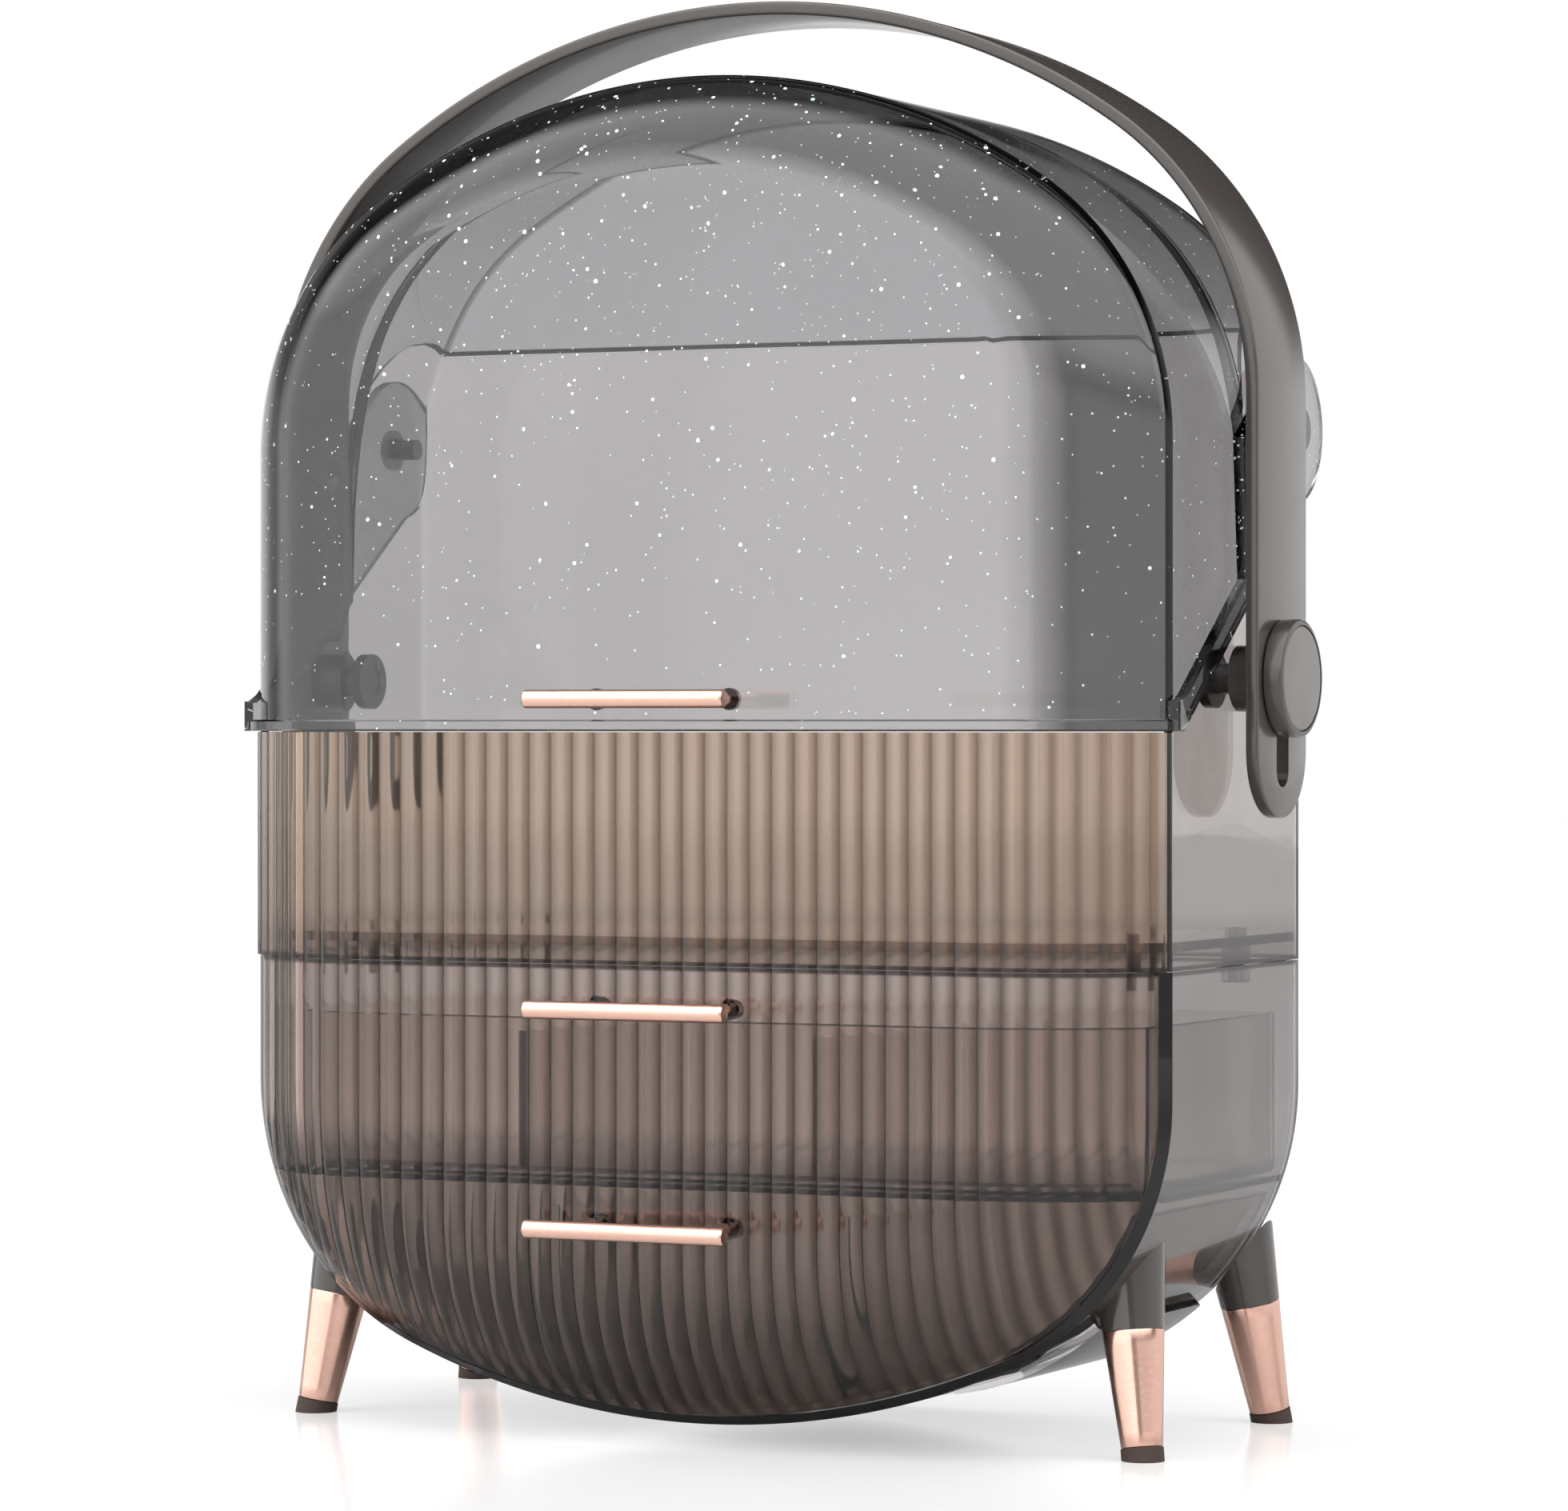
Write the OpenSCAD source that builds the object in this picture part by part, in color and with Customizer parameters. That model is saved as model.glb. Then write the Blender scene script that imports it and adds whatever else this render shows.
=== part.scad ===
// Dustproof makeup organizer: a smoked clear plastic case with a rounded top and belly,
// a rear-hinged glitter lid, an open tray, two fluted drawers, a carry handle and four legs.
// X is the width, Y runs from the front to the back, Z is up, and the legs stand on z = 0.

/* [Body] */
// Width of the case and the lid
body_w = 280; // [240:1:320]
// Depth of the flat side walls, from the front crease to the rear face
side_d = 97; // [85:1:120]
// How far the pillow front swells ahead of the front crease
bulge = 24; // [18:1:30]
// Radial width of the rounding round the pillow front
round_w = 46; // [38:1:52]
// Thickness of the moulded walls
wall = 2.6; // [2:0.1:3.4]
// Radius of the lower corners of the outline
corner_r = 80; // [70:1:95]
// Radius of the wide arc under the belly
belly_r = 235; // [200:1:300]
// Radius of the upright rear corners
rear_r = 4; // [2:0.5:6]

/* [Levels] */
// Height of the lowest point of the belly
belly_z = 4.2; // [3:0.1:8]
// Height of the parting line between the drawers
split_z = 70.5; // [62:0.5:80]
// Height of the seam between the drawer case and the tray
seam_z = 131; // [120:1:140]
// Height of the tray's front rim
rim_z = 194.2; // [180:0.1:205]
// Height of the top of the lid
lid_top_z = 374.6; // [350:0.1:400]
// Slope of the parting line from the rim up to the hinge
parting_deg = 36; // [33:1:39]

/* [Flutes] */
// Number of flutes across the tray front
flutes = 44; // [30:1:56]
// Height of one flute
flute_h = 1.1; // [0.5:0.1:1.6]

/* [Lid] */
// Radius of the wide arc over the lid
lid_r = 183; // [165:1:220]
// Radius of the lid's shoulders
shoulder_r = 85; // [65:1:100]
// Width of the rounded band at the sides of the flat lid panel
band_side = 40; // [30:1:50]
// Width of the rounded band over the top of the flat lid panel
band_top = 26; // [18:1:34]
// How much smaller the flat panel's shoulder radius is than the lid's
band_shoulder = 35; // [25:1:42]
// How far the lip and the side flange stand proud of the walls
lip_out = 3.5; // [2:0.1:4.5]
// Height of the front lip
lip_h = 3.2; // [2:0.1:5]
// Width of the sloping side flange
flange_w = 6.5; // [4:0.5:9]
// Distance of the hinge axis ahead of the rear face
hinge_in = 14; // [12:0.5:18]
// Height of the hinge axis above the rim
hinge_lift = 83.8; // [78:0.1:88]
// Radius of the round lobes on the tray, round the hinge axis
lobe_r = 30.8; // [28:0.1:33]
// Radius of the round hinge ears on the lid
ear_r = 20.5; // [16:0.5:24]
// Radius of the hinge pins
pin_r = 3; // [2:0.1:4]

/* [Handle] */
// Radius of the wide arc over the handle
handle_r = 195; // [185:1:215]
// Radius of the handle's shoulders
handle_shoulder_r = 95; // [80:1:105]
// Height of the top of the handle above the lid
handle_clear = 23.6; // [18:0.1:32]
// Width of the handle band
handle_w = 37; // [28:1:44]
// Thickness of the handle band
handle_t = 3.7; // [2.5:0.1:5]
// Gap between the side wall and the handle
handle_gap = 8.8; // [7:0.1:11]
// Height of the handle's pivot above the rim
pivot_lift = 14.6; // [12:0.1:20]
// Distance from the pivot down to the lower end of the handle
handle_tail = 37.8; // [33:0.1:42]
// Travel of the handle on its slots
handle_lift = 25; // [10:1:27]
// Radius of the pivot shafts
shaft_r = 4.2; // [3:0.1:5]
// Radius of the knobs
knob_r = 16; // [13:0.5:18]
// Thickness of the knob heads
knob_t = 5.5; // [4:0.1:8]

/* [Drawers] */
// Thickness of the drawer walls
drawer_wall = 2; // [1.6:0.1:2.6]
// Height of the upper drawer's side walls
upper_side_h = 44; // [30:1:50]
// Distance of the dividers from the middle
divider_x = 44.5; // [35:0.5:55]
// Thickness of the dividers
divider_t = 1.6; // [1.2:0.1:2.2]
// Thickness of the shelf between the drawers
shelf_t = 1.8; // [1.4:0.1:2.4]
// Height of the tray floor above the seam
floor_lift = 5; // [3:0.5:10]

/* [Pulls] */
// Length of a pull bar
pull_l = 60.5; // [50:0.5:80]
// Radius of a pull bar
pull_r = 2.5; // [2:0.1:3.5]
// Distance from the front face to the bar's axis
pull_out = 21; // [14:0.5:26]
// Number of flutes between the two posts of a pull
post_flutes = 6; // [4:2:8]
// Radius of a post
post_r = 1.8; // [1.4:0.1:2.4]
// Height of the lid's pull above the rim
lid_pull_lift = 9; // [7:0.1:16]
// Depth of the upper drawer's pull under the seam
upper_pull_drop = 11.6; // [9:0.1:20]
// Depth of the lower drawer's pull under the parting line between the drawers
lower_pull_drop = 10.3; // [8:0.1:16]

/* [Legs] */
// Distance of the foot tips in from the side walls
foot_in = 12.5; // [6:0.5:20]
// Distance of the front foot tips behind the front crease
foot_front_y = 10; // [4:0.5:20]
// Distance of the rear foot tips behind the rear face
foot_rear_out = 8.5; // [0:0.5:10]
// Splay of the legs, sideways and lengthways
splay_deg = 8; // [4:0.5:12]
// Radius of a leg at its tip
tip_r = 5.6; // [4.5:0.1:7]
// Radius of a leg at the top of the metal sleeve
sleeve_r = 8.4; // [7:0.1:10]
// Thickness of the foot pad
pad_h = 3; // [2:0.1:5]
// Height of the top of the metal sleeve
sleeve_top = 34.5; // [30:0.5:38]
// Height of the top of the plastic leg socket
socket_top = 66; // [60:1:72]

/* [Clearances] */
// Gap between the drawers and the case
slide_gap = 0.4; // [0.3:0.05:0.6]
// Gap between the lid and the tray
lid_gap = 0.3; // [0.25:0.05:0.5]
// Gap between flat faces that turn past each other
turn_gap = 0.3; // [0.2:0.05:0.5]
// Radial clearance of a shaft in its bore
run_gap = 0.05; // [0.02:0.01:0.1]

/* [Hidden] */
$fn = 96;
smoke = [0.38, 0.36, 0.35, 0.6];
clear_smoke = [0.5, 0.5, 0.5, 0.45];
rose_gold = [0.85, 0.58, 0.47];
dark_plastic = [0.27, 0.25, 0.24];

half_w = body_w / 2;
big = 2 * body_w;
foot_x = half_w - foot_in;
hinge_z = rim_z + hinge_lift;
pivot_z = rim_z + pivot_lift;
handle_top_z = lid_top_z + handle_clear;
lid_pull_z = rim_z + lid_pull_lift;
upper_pull_z = seam_z - upper_pull_drop;
lower_pull_z = split_z - lower_pull_drop;
// The pillow profile is an arc that runs flat into the middle of the front.
pillow_r = (round_w * round_w + bulge * bulge) / (2 * bulge);
flat_half = half_w - round_w;
crease_deg = asin(round_w / pillow_r);
// Centres of the three-centred lower outline.
corner_x = half_w - corner_r;
belly_c = belly_z + belly_r;
belly_deg = asin(corner_x / (belly_r - corner_r));
corner_c = belly_c - (belly_r - corner_r) * cos(belly_deg);
// Hinge axis, parting line and handle pivot.
hinge_y = side_d - hinge_in;
parting_slope = tan(parting_deg);
back_top_z = hinge_z + sqrt(lobe_r * lobe_r - hinge_in * hinge_in);
pivot_y = side_d / 2;
handle_in = half_w + handle_gap;
handle_out = handle_in + handle_t;
slot_r = shaft_r + turn_gap;
// The frame is centred on the box: from the pull bars to the rear feet.
front_y = -bulge - pull_out - pull_r;
rear_y = side_d + foot_rear_out + tip_r / cos(splay_deg);
mid_y = (front_y + rear_y) / 2;
tray_floor_z = seam_z + floor_lift;
upper_floor_z = split_z + shelf_t / 2 + slide_gap;
lower_inset = wall + slide_gap;
drawer_back = side_d - wall - 2;
screw_r = 1.5;
screw_head = 1.6;
screw_x = half_w - 14;
screw_ys = [20, side_d - 20];
seat_gap = slide_gap / 2;
post_boss_r = 4;
lug_h = 6;
boss_l = 8;
knob_boss_r = 9;
pin_boss_r = 7;
flute_steps = 6;

module in_frame() { translate([0, -mid_y, 0]) children(); }
module both_sides() { children(); mirror([1, 0, 0]) children(); }
// A flat shape in X and Z, extruded from y0 to y1.
module along_y(y0, y1) {
    translate([0, y1, 0]) rotate([90, 0, 0]) linear_extrude(y1 - y0) children();
}
// A flat shape in Y and Z, extruded from x0 to x1.
module along_x(x0, x1) {
    translate([x0, 0, 0]) rotate([90, 0, 90]) linear_extrude(x1 - x0) children();
}
// A rod along X.
module rod_x(x0, x1, r, y, z) {
    translate([x0, y, z]) rotate([0, 90, 0]) cylinder(h = x1 - x0, r = r);
}
// A rod along Y.
module rod_y(y0, y1, r, x, z) {
    translate([x, y1, z]) rotate([90, 0, 0]) cylinder(h = y1 - y0, r = r);
}

// ---- outlines ----

// Lower outline of the body, set in by a distance, up to a height.
module lower_outline(inset, top) intersection() {
    union() {
        side = half_w - inset;
        translate([-side, corner_c]) square([2 * side, big]);
        for (s = [-1, 1]) translate([s * corner_x, corner_c]) circle(corner_r - inset);
        intersection() {
            translate([0, belly_c]) circle(belly_r - inset);
            polygon([[0, belly_c],
                     [big * sin(belly_deg), belly_c - big * cos(belly_deg)],
                     [-big * sin(belly_deg), belly_c - big * cos(belly_deg)]]);
        }
    }
    translate([-half_w, -1]) square([body_w, top + 1]);
}

// Points of a three-centred arch over straight legs.
function arch(side, top, top_r, leg_r, foot, turn = 26) =
    let (a = asin((side - leg_r) / (top_r - leg_r)),
         tc = top - top_r,
         lc = tc + (top_r - leg_r) * cos(a),
         n = round(turn * 0.36), m = turn - n,
         right = concat(
             [for (i = [0 : n]) let (t = a * i / n) [top_r * sin(t), tc + top_r * cos(t)]],
             [for (i = [1 : m]) let (t = a + (90 - a) * i / m)
                 [side - leg_r + leg_r * sin(t), lc + leg_r * cos(t)]],
             [[side, foot]]))
    concat(right, [for (i = [len(right) - 1 : -1 : 1]) [-right[i][0], right[i][1]]]);

// Outline of the lid, set in by a share of the band and by a wall.
function lid_arch(share, skin, foot) =
    arch(half_w - band_side * share - skin, lid_top_z - band_top * share - skin,
         lid_r - band_top * share - skin, shoulder_r - band_shoulder * share - skin, foot);

// Height of the parting line between the tray and the lid.
function parting(y) = rim_z + max(0, y) * parting_slope;

// ---- pillow front ----

// Point and direction of the pillow's plan curve at a distance u from the middle.
function plan_deg(u) = max(0, abs(u) - flat_half) / pillow_r * 180 / PI;
function plan_point(u, out) =
    let (t = plan_deg(u), s = sign(u), r = pillow_r + out)
    [s * (min(abs(u), flat_half) + r * sin(t)), pillow_r - bulge - r * cos(t)];
plan_half = flat_half + pillow_r * crease_deg * PI / 180;
flute_pitch = 2 * plan_half / flutes;
// Height of the fluting at a distance u along the plan curve.
function flute(u) = flute_h * abs(sin(180 * (u + plan_half) / flute_pitch));

// Fluted front of the plan, from one crease to the other or short of it by an edge.
function fluted_front(edge = 0) =
    let (n = flutes * flute_steps,
         us = [for (i = [0 : n]) -plan_half + 2 * plan_half * i / n])
    [for (u = us) if (abs(u) <= plan_half - edge + 0.001) plan_point(u, flute(u))];
function smooth_front(out, edge = 0, n = 40) =
    [for (i = [0 : n]) let (e = plan_half - edge) plan_point(-e + 2 * e * i / n, out)];

// Y of the smooth pillow and the slope of its surface, at a distance in from the outline.
function pillow_deg(s) = asin(max(0, round_w - s) / pillow_r);
function pillow_y(s) = pillow_r - bulge - pillow_r * cos(pillow_deg(s));

// The case's wall round the lower outline, up to a height, and its rear wall. Its front
// edge steps forward to follow the pillow.
edge_steps = 2;
module case_shell(top) {
    difference() {
        intersection() {
            union() {
                along_y(0, side_d) lower_outline(0, top);
                for (k = [1 : edge_steps])
                    along_y(pillow_y(wall * (k + 0.3) / (edge_steps + 1)), 6)
                        lower_outline(wall * k / (edge_steps + 1), top);
            }
            translate([0, 0, -1]) linear_extrude(top + 5) rear_rounded();
        }
        along_y(-big, side_d - wall) lower_outline(wall, top + 5);
    }
}
module rear_rounded() {
    for (s = [0, 1])
        translate([s * rear_r - half_w, -big])
            square([body_w - 2 * s * rear_r, big + side_d - (1 - s) * rear_r]);
    for (s = [-1, 1]) translate([s * (half_w - rear_r), side_d - rear_r]) circle(rear_r);
}

// ---- tray ----

module plan_shape(skin, fluted) {
    front = fluted ? fluted_front() : smooth_front(-skin, 0);
    side = half_w - skin;
    polygon(concat([[-side, side_d / 2]], [for (p = front) if (abs(p[0]) < side) p],
                   [[side, side_d / 2]]));
    translate([-side, side_d / 2]) square([2 * side, side_d / 2 - rear_r]);
    translate([rear_r - side, side_d / 2])
        square([2 * (side - rear_r), side_d / 2 - skin]);
    for (s = [-1, 1]) translate([s * (side - rear_r + skin), side_d - rear_r])
        circle(rear_r - skin);
}

// Side view of everything that belongs to the tray, under the parting line.
module tray_side_view(gap = 0) {
    polygon([[-big, seam_z], [side_d + 1, seam_z], [side_d + 1, hinge_z + gap],
             [hinge_y, hinge_z + gap], [hinge_y, parting(hinge_y) + gap],
             [0, rim_z + gap], [-big, rim_z + gap]]);
    translate([hinge_y, hinge_z]) circle(lobe_r + gap);
}

module tray_walls() {
    difference() {
        translate([0, 0, seam_z]) linear_extrude(back_top_z - seam_z) plan_shape(0, true);
        translate([0, 0, seam_z - 1]) linear_extrude(back_top_z - seam_z + 2)
            plan_shape(wall, false);
    }
}

module upper_tray() color(smoke) in_frame() difference() {
    union() {
        intersection() {
            tray_walls();
            along_x(-half_w - 5, half_w + 5) tray_side_view();
            along_y(-big, big) polygon(lid_arch(0, 0, 0));
        }
        intersection() {
            along_y(0, side_d) difference() {
                polygon(lid_arch(0, 0, 0));
                polygon(lid_arch(0, wall, -1));
            }
            along_x(-half_w - 5, half_w + 5) intersection() {
                tray_side_view();
                translate([0, rim_z]) square([side_d, back_top_z - rim_z]);
            }
            translate([0, 0, seam_z]) linear_extrude(back_top_z) plan_shape(0, false);
        }
        translate([0, 0, tray_floor_z]) linear_extrude(wall) plan_shape(wall / 2, false);
        for (x = [-1, 1], y = screw_ys)
            translate([x * screw_x, y, seam_z]) cylinder(h = floor_lift + 0.5, r = post_boss_r);
        both_sides() {
            rod_x(half_w - boss_l, half_w - wall / 2, knob_boss_r, pivot_y, pivot_z);
            rod_x(half_w - boss_l, half_w - wall / 2, pin_boss_r, hinge_y, hinge_z);
        }
    }
    both_sides() {
        rod_x(half_w - 9, half_w + 9, shaft_r + run_gap, pivot_y, pivot_z);
        rod_x(half_w - 9, half_w + 9, pin_r, hinge_y, hinge_z);
        for (y = screw_ys)
            translate([screw_x, y, seam_z - 1]) cylinder(h = floor_lift + wall + 2, r = screw_r);
    }
}

// ---- drawer case ----

module leg_place(sx, rear) {
    y = rear ? side_d + foot_rear_out : foot_front_y;
    translate([sx * foot_x, y, 0])
        rotate([rear ? splay_deg : -splay_deg, -sx * splay_deg, 0]) children();
}
module leg_cone(from, to, grow = 0) {
    slope = (sleeve_r - tip_r) / (sleeve_top - pad_h);
    translate([0, 0, from])
        cylinder(h = to - from, r1 = tip_r + slope * (from - pad_h) + grow,
                 r2 = tip_r + slope * (to - pad_h) + grow);
}

// Two shallow rails run from front to back under the belly, from just outside the corner's
// centre to just short of the legs.
rail_out = 2.5;
rail_from_corner = 6;
rail_from_foot = 15.5;
rail_x = [corner_x + rail_from_corner, foot_x - rail_from_foot];
rail_in = 12;
module drawer_case() color(smoke) in_frame() difference() {
    union() {
        case_shell(seam_z - seat_gap);
        both_sides() for (y = screw_ys)
            translate([screw_x, y, seam_z - lug_h]) {
                cylinder(h = lug_h - 0.02, r = post_boss_r);
                translate([0, -post_boss_r, 0])
                    cube([half_w - screw_x - wall / 2, 2 * post_boss_r, lug_h - seat_gap]);
            }
        both_sides() along_y(rail_in, side_d - rail_in) difference() {
            intersection() {
                lower_outline(-rail_out, corner_c);
                translate([rail_x[0], 0]) square([rail_x[1] - rail_x[0], corner_c / 2]);
            }
            lower_outline(wall / 2, corner_c + 1);
        }
    }
    both_sides() for (y = screw_ys)
        translate([screw_x, y, seam_z - lug_h - 1]) cylinder(h = lug_h + 2, r = screw_r);
}
module drawer_shelf() color(smoke) in_frame() intersection() {
    along_y(8, side_d - wall) lower_outline(wall + 0.02, seam_z - 2);
    translate([-half_w, 0, split_z - shelf_t / 2]) cube([body_w, side_d, shelf_t]);
}

module case_screws() color("silver") in_frame()
    both_sides() for (y = screw_ys) translate([screw_x, y, 0]) {
        translate([0, 0, tray_floor_z + wall]) cylinder(h = screw_head, r = 2 * screw_r);
        translate([0, 0, seam_z - lug_h]) cylinder(h = lug_h + floor_lift + wall, r = screw_r);
    }

// ---- legs ----

module leg_socket(sx, rear) color(smoke) in_frame() difference() {
    leg_place(sx, rear) union() {
        leg_cone(sleeve_top + 0.02, socket_top);
        translate([0, 0, pad_h + 12.02]) cylinder(h = sleeve_top - pad_h - 11, r = 3);
    }
    along_y(-big, big) lower_outline(-0.02, seam_z);
}
module leg_sleeve(sx, rear) color(rose_gold) in_frame() leg_place(sx, rear) difference() {
    leg_cone(pad_h + 0.3, sleeve_top);
    translate([0, 0, pad_h + 12]) cylinder(h = sleeve_top, r = 3);
    translate([0, 0, pad_h]) cylinder(h = 6, r = 2.5);
}
module leg_pad(sx, rear) color(dark_plastic) in_frame() intersection() {
    leg_place(sx, rear) union() {
        translate([0, 0, -3]) cylinder(h = pad_h + 3.3, r = tip_r + 0.2);
        translate([0, 0, pad_h]) cylinder(h = 6, r = 2.5);
    }
    translate([-big, -big, 0]) cube([2 * big, 2 * big, sleeve_top]);
}
module leg_socket_front_left() leg_socket(-1, false);
module leg_socket_front_right() leg_socket(1, false);
module leg_socket_rear_left() leg_socket(-1, true);
module leg_socket_rear_right() leg_socket(1, true);
module leg_sleeve_front_left() leg_sleeve(-1, false);
module leg_sleeve_front_right() leg_sleeve(1, false);
module leg_sleeve_rear_left() leg_sleeve(-1, true);
module leg_sleeve_rear_right() leg_sleeve(1, true);
module leg_pad_front_left() leg_pad(-1, false);
module leg_pad_front_right() leg_pad(1, false);
module leg_pad_rear_left() leg_pad(-1, true);
module leg_pad_rear_right() leg_pad(1, true);

// ---- lid ----

// The closed dome of the lid, as rings from the flat panel back to the rear face.
lid_crease_deg = 58;
lid_panel_deg = 10;
lid_steps = 6;
function lid_front_ring(k, skin) =
    let (t = lid_panel_deg + (lid_crease_deg - lid_panel_deg) * k / lid_steps,
         c = lid_crease_deg, share = (sin(c) - sin(t)) / (sin(c) - sin(lid_panel_deg)),
         rise = (cos(t) - cos(c)) / (cos(lid_panel_deg) - cos(c)))
    lid_ring(share, skin, skin * share - bulge * rise);
function lid_rear_ring(k, skin) =
    lid_ring(0, skin + rear_r * (1 - cos(30 * k)) / 2,
             side_d - skin - rear_r * (1 - sin(30 * k)) / 2);
function lid_ring(share, skin, y) = [for (p = lid_arch(share, skin, rim_z - 2)) [p[0], y, p[1]]];
module lid_dome(skin) {
    rings = concat([for (k = [0 : lid_steps]) lid_front_ring(k, skin)],
                   [for (k = [0 : 3]) lid_rear_ring(k, skin)]);
    n = len(rings[0]);
    last = len(rings) - 1;
    function at(i, j) = i * n + j % n;
    polyhedron(
        points = [for (ring = rings) for (p = ring) p],
        faces = concat(
            [[for (j = [0 : n - 1]) at(0, j)]],
            [for (i = [0 : last - 1]) for (j = [0 : n - 1])
                for (f = [[at(i, j), at(i + 1, j), at(i + 1, j + 1)],
                          [at(i, j), at(i + 1, j + 1), at(i, j + 1)]]) f],
            [[for (j = [n - 1 : -1 : 0]) at(last, j)]]));
}

// Distance from the hinge axis to the parting line.
line_d = (hinge_z - parting(hinge_y)) * cos(parting_deg);
// Side view of the strap that joins the hinge ear to the side flange.
module lid_strap() {
    translate([hinge_y, hinge_z]) {
        circle(ear_r);
        rotate(180 + parting_deg)
            polygon([[0, -ear_r], [lobe_r + 4, -ear_r], [lobe_r + 24, line_d - flange_w],
                     [lobe_r + 24, line_d - lid_gap], [0, line_d - lid_gap]]);
    }
}
module lid_flange() {
    polygon([[0, rim_z + lid_gap], [hinge_y - lobe_r, parting(hinge_y - lobe_r) + lid_gap],
             [hinge_y - lobe_r, parting(hinge_y - lobe_r) + lid_gap + flange_w],
             [0, rim_z + lid_gap + flange_w], [-lip_out, rim_z + lid_gap + flange_w - lip_out],
             [-lip_out, rim_z + lid_gap]]);
}
module lid_lip() {
    outer = smooth_front(lip_out);
    inner = [for (p = smooth_front(-wall)) if (p[1] < -lid_gap) p];
    edge = half_w + lip_out;
    translate([0, 0, rim_z + lid_gap]) linear_extrude(lip_h)
        polygon(concat([[-edge, 0]], [[-edge, outer[0][1]]], outer,
                       [[edge, outer[0][1]]], [[edge, 0]], [[half_w - wall, 0]],
                       [for (i = [len(inner) - 1 : -1 : 0]) inner[i]], [[wall - half_w, 0]]));
}

module lid_shell() color(clear_smoke) in_frame() difference() {
    union() {
        difference() {
            lid_dome(0);
            lid_dome(wall);
            along_x(-big, big) tray_side_view(lid_gap);
        }
        lid_lip();
        both_sides() {
            along_x(half_w - wall / 2, half_w + lip_out) difference() {
                union() {
                    lid_flange();
                    lid_strap();
                }
                translate([hinge_y, hinge_z]) circle(lobe_r + lid_gap);
                translate([hinge_y, 0]) square(big);
            }
            along_x(half_w + turn_gap, half_w + lip_out) {
                lid_flange();
                lid_strap();
            }
        }
    }
    both_sides() rod_x(half_w - boss_l, half_w + 2 * lip_out, pin_r + run_gap, hinge_y, hinge_z);
}

module hinge_pin(s) color(dark_plastic) in_frame() {
    rod_x(s * half_w - (s > 0 ? boss_l - 1 : lip_out + turn_gap + 0.1),
          s * half_w + (s > 0 ? lip_out + turn_gap + 0.1 : boss_l - 1), pin_r, hinge_y, hinge_z);
    rod_x(s > 0 ? half_w + lip_out + turn_gap : -half_w - lip_out - turn_gap - 1.6,
          s > 0 ? half_w + lip_out + turn_gap + 1.6 : -half_w - lip_out - turn_gap,
          2 * pin_r, hinge_y, hinge_z);
}
module hinge_pin_left() hinge_pin(-1);
module hinge_pin_right() hinge_pin(1);

// ---- pulls ----

module pull(z, root) color(rose_gold) in_frame() {
    y = -bulge - pull_out;
    rod_x(-pull_l / 2, pull_l / 2, pull_r, y, z);
    both_sides() rod_y(y, root, post_r, post_flutes / 2 * flute_pitch, z);
}
module pull_screws(z) color("silver") in_frame() both_sides()
    rod_y(wall - bulge, wall - bulge + screw_head, 2 * screw_r,
          post_flutes / 2 * flute_pitch, z);
module lid_pull() pull(lid_pull_z, -bulge);
// On the drawers each post ends on the two flutes beside it.
post_root = -bulge - flute_h * sin(180 * post_r / flute_pitch);
module drawer_upper_pull() pull(upper_pull_z, post_root);
module drawer_lower_pull() pull(lower_pull_z, post_root);
module lid_pull_screws() pull_screws(lid_pull_z);
module upper_pull_screws() pull_screws(upper_pull_z);
module lower_pull_screws() pull_screws(lower_pull_z);

// ---- handle ----

function handle_arch(skin, foot) =
    arch(handle_out - skin, handle_top_z - skin, handle_r - skin, handle_shoulder_r - skin,
         foot, 40);
module carry_handle() color(dark_plastic) in_frame() difference() {
    foot = pivot_z - handle_tail;
    intersection() {
        along_y(pivot_y - handle_w / 2, pivot_y + handle_w / 2) difference() {
            polygon(handle_arch(0, foot));
            polygon(handle_arch(handle_t, foot - 1));
        }
        along_x(-big, big) {
            translate([pivot_y, foot + handle_w / 2]) circle(handle_w / 2);
            translate([pivot_y - handle_w / 2, foot + handle_w / 2]) square([handle_w, big]);
        }
    }
    along_x(-big, big) {
        for (z = [0, -handle_lift]) translate([pivot_y, pivot_z + z]) circle(slot_r);
        translate([pivot_y - slot_r, pivot_z - handle_lift]) square([2 * slot_r, handle_lift]);
    }
}
knob_in = handle_out + turn_gap;
cover_t = 1.2;
cover_rim = 1.6;
nut_t = 3;
module right_knob() difference() {
    union() {
        rod_x(half_w - boss_l - nut_t, knob_in + 1, shaft_r, pivot_y, pivot_z);
        rod_x(knob_in, knob_in + knob_t, knob_r, pivot_y, pivot_z);
    }
    rod_x(knob_in + knob_t - cover_t, knob_in + knob_t + 1, knob_r - cover_rim, pivot_y, pivot_z);
}
module right_bush() difference() {
    rod_x(half_w, handle_in - turn_gap, knob_boss_r, pivot_y, pivot_z);
    rod_x(half_w - 1, handle_in, shaft_r + run_gap, pivot_y, pivot_z);
}
module right_nut() difference() {
    rod_x(half_w - boss_l - turn_gap - nut_t, half_w - boss_l - turn_gap,
          knob_boss_r - 1, pivot_y, pivot_z);
    rod_x(half_w - 2 * boss_l, half_w, shaft_r, pivot_y, pivot_z);
}
module right_cover()
    rod_x(knob_in + knob_t - cover_t, knob_in + knob_t + 0.2, knob_r - cover_rim,
          pivot_y, pivot_z);
module handle_knob_right() color(dark_plastic) in_frame() right_knob();
module handle_knob_left() mirror([1, 0, 0]) handle_knob_right();
module knob_cover_right() color("gray") in_frame() right_cover();
module knob_cover_left() mirror([1, 0, 0]) knob_cover_right();
module pivot_bush_right() color(dark_plastic) in_frame() right_bush();
module pivot_bush_left() mirror([1, 0, 0]) pivot_bush_right();
module pivot_nut_right() color(dark_plastic) in_frame() right_nut();
module pivot_nut_left() mirror([1, 0, 0]) pivot_nut_right();

// ---- drawers ----

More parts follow.
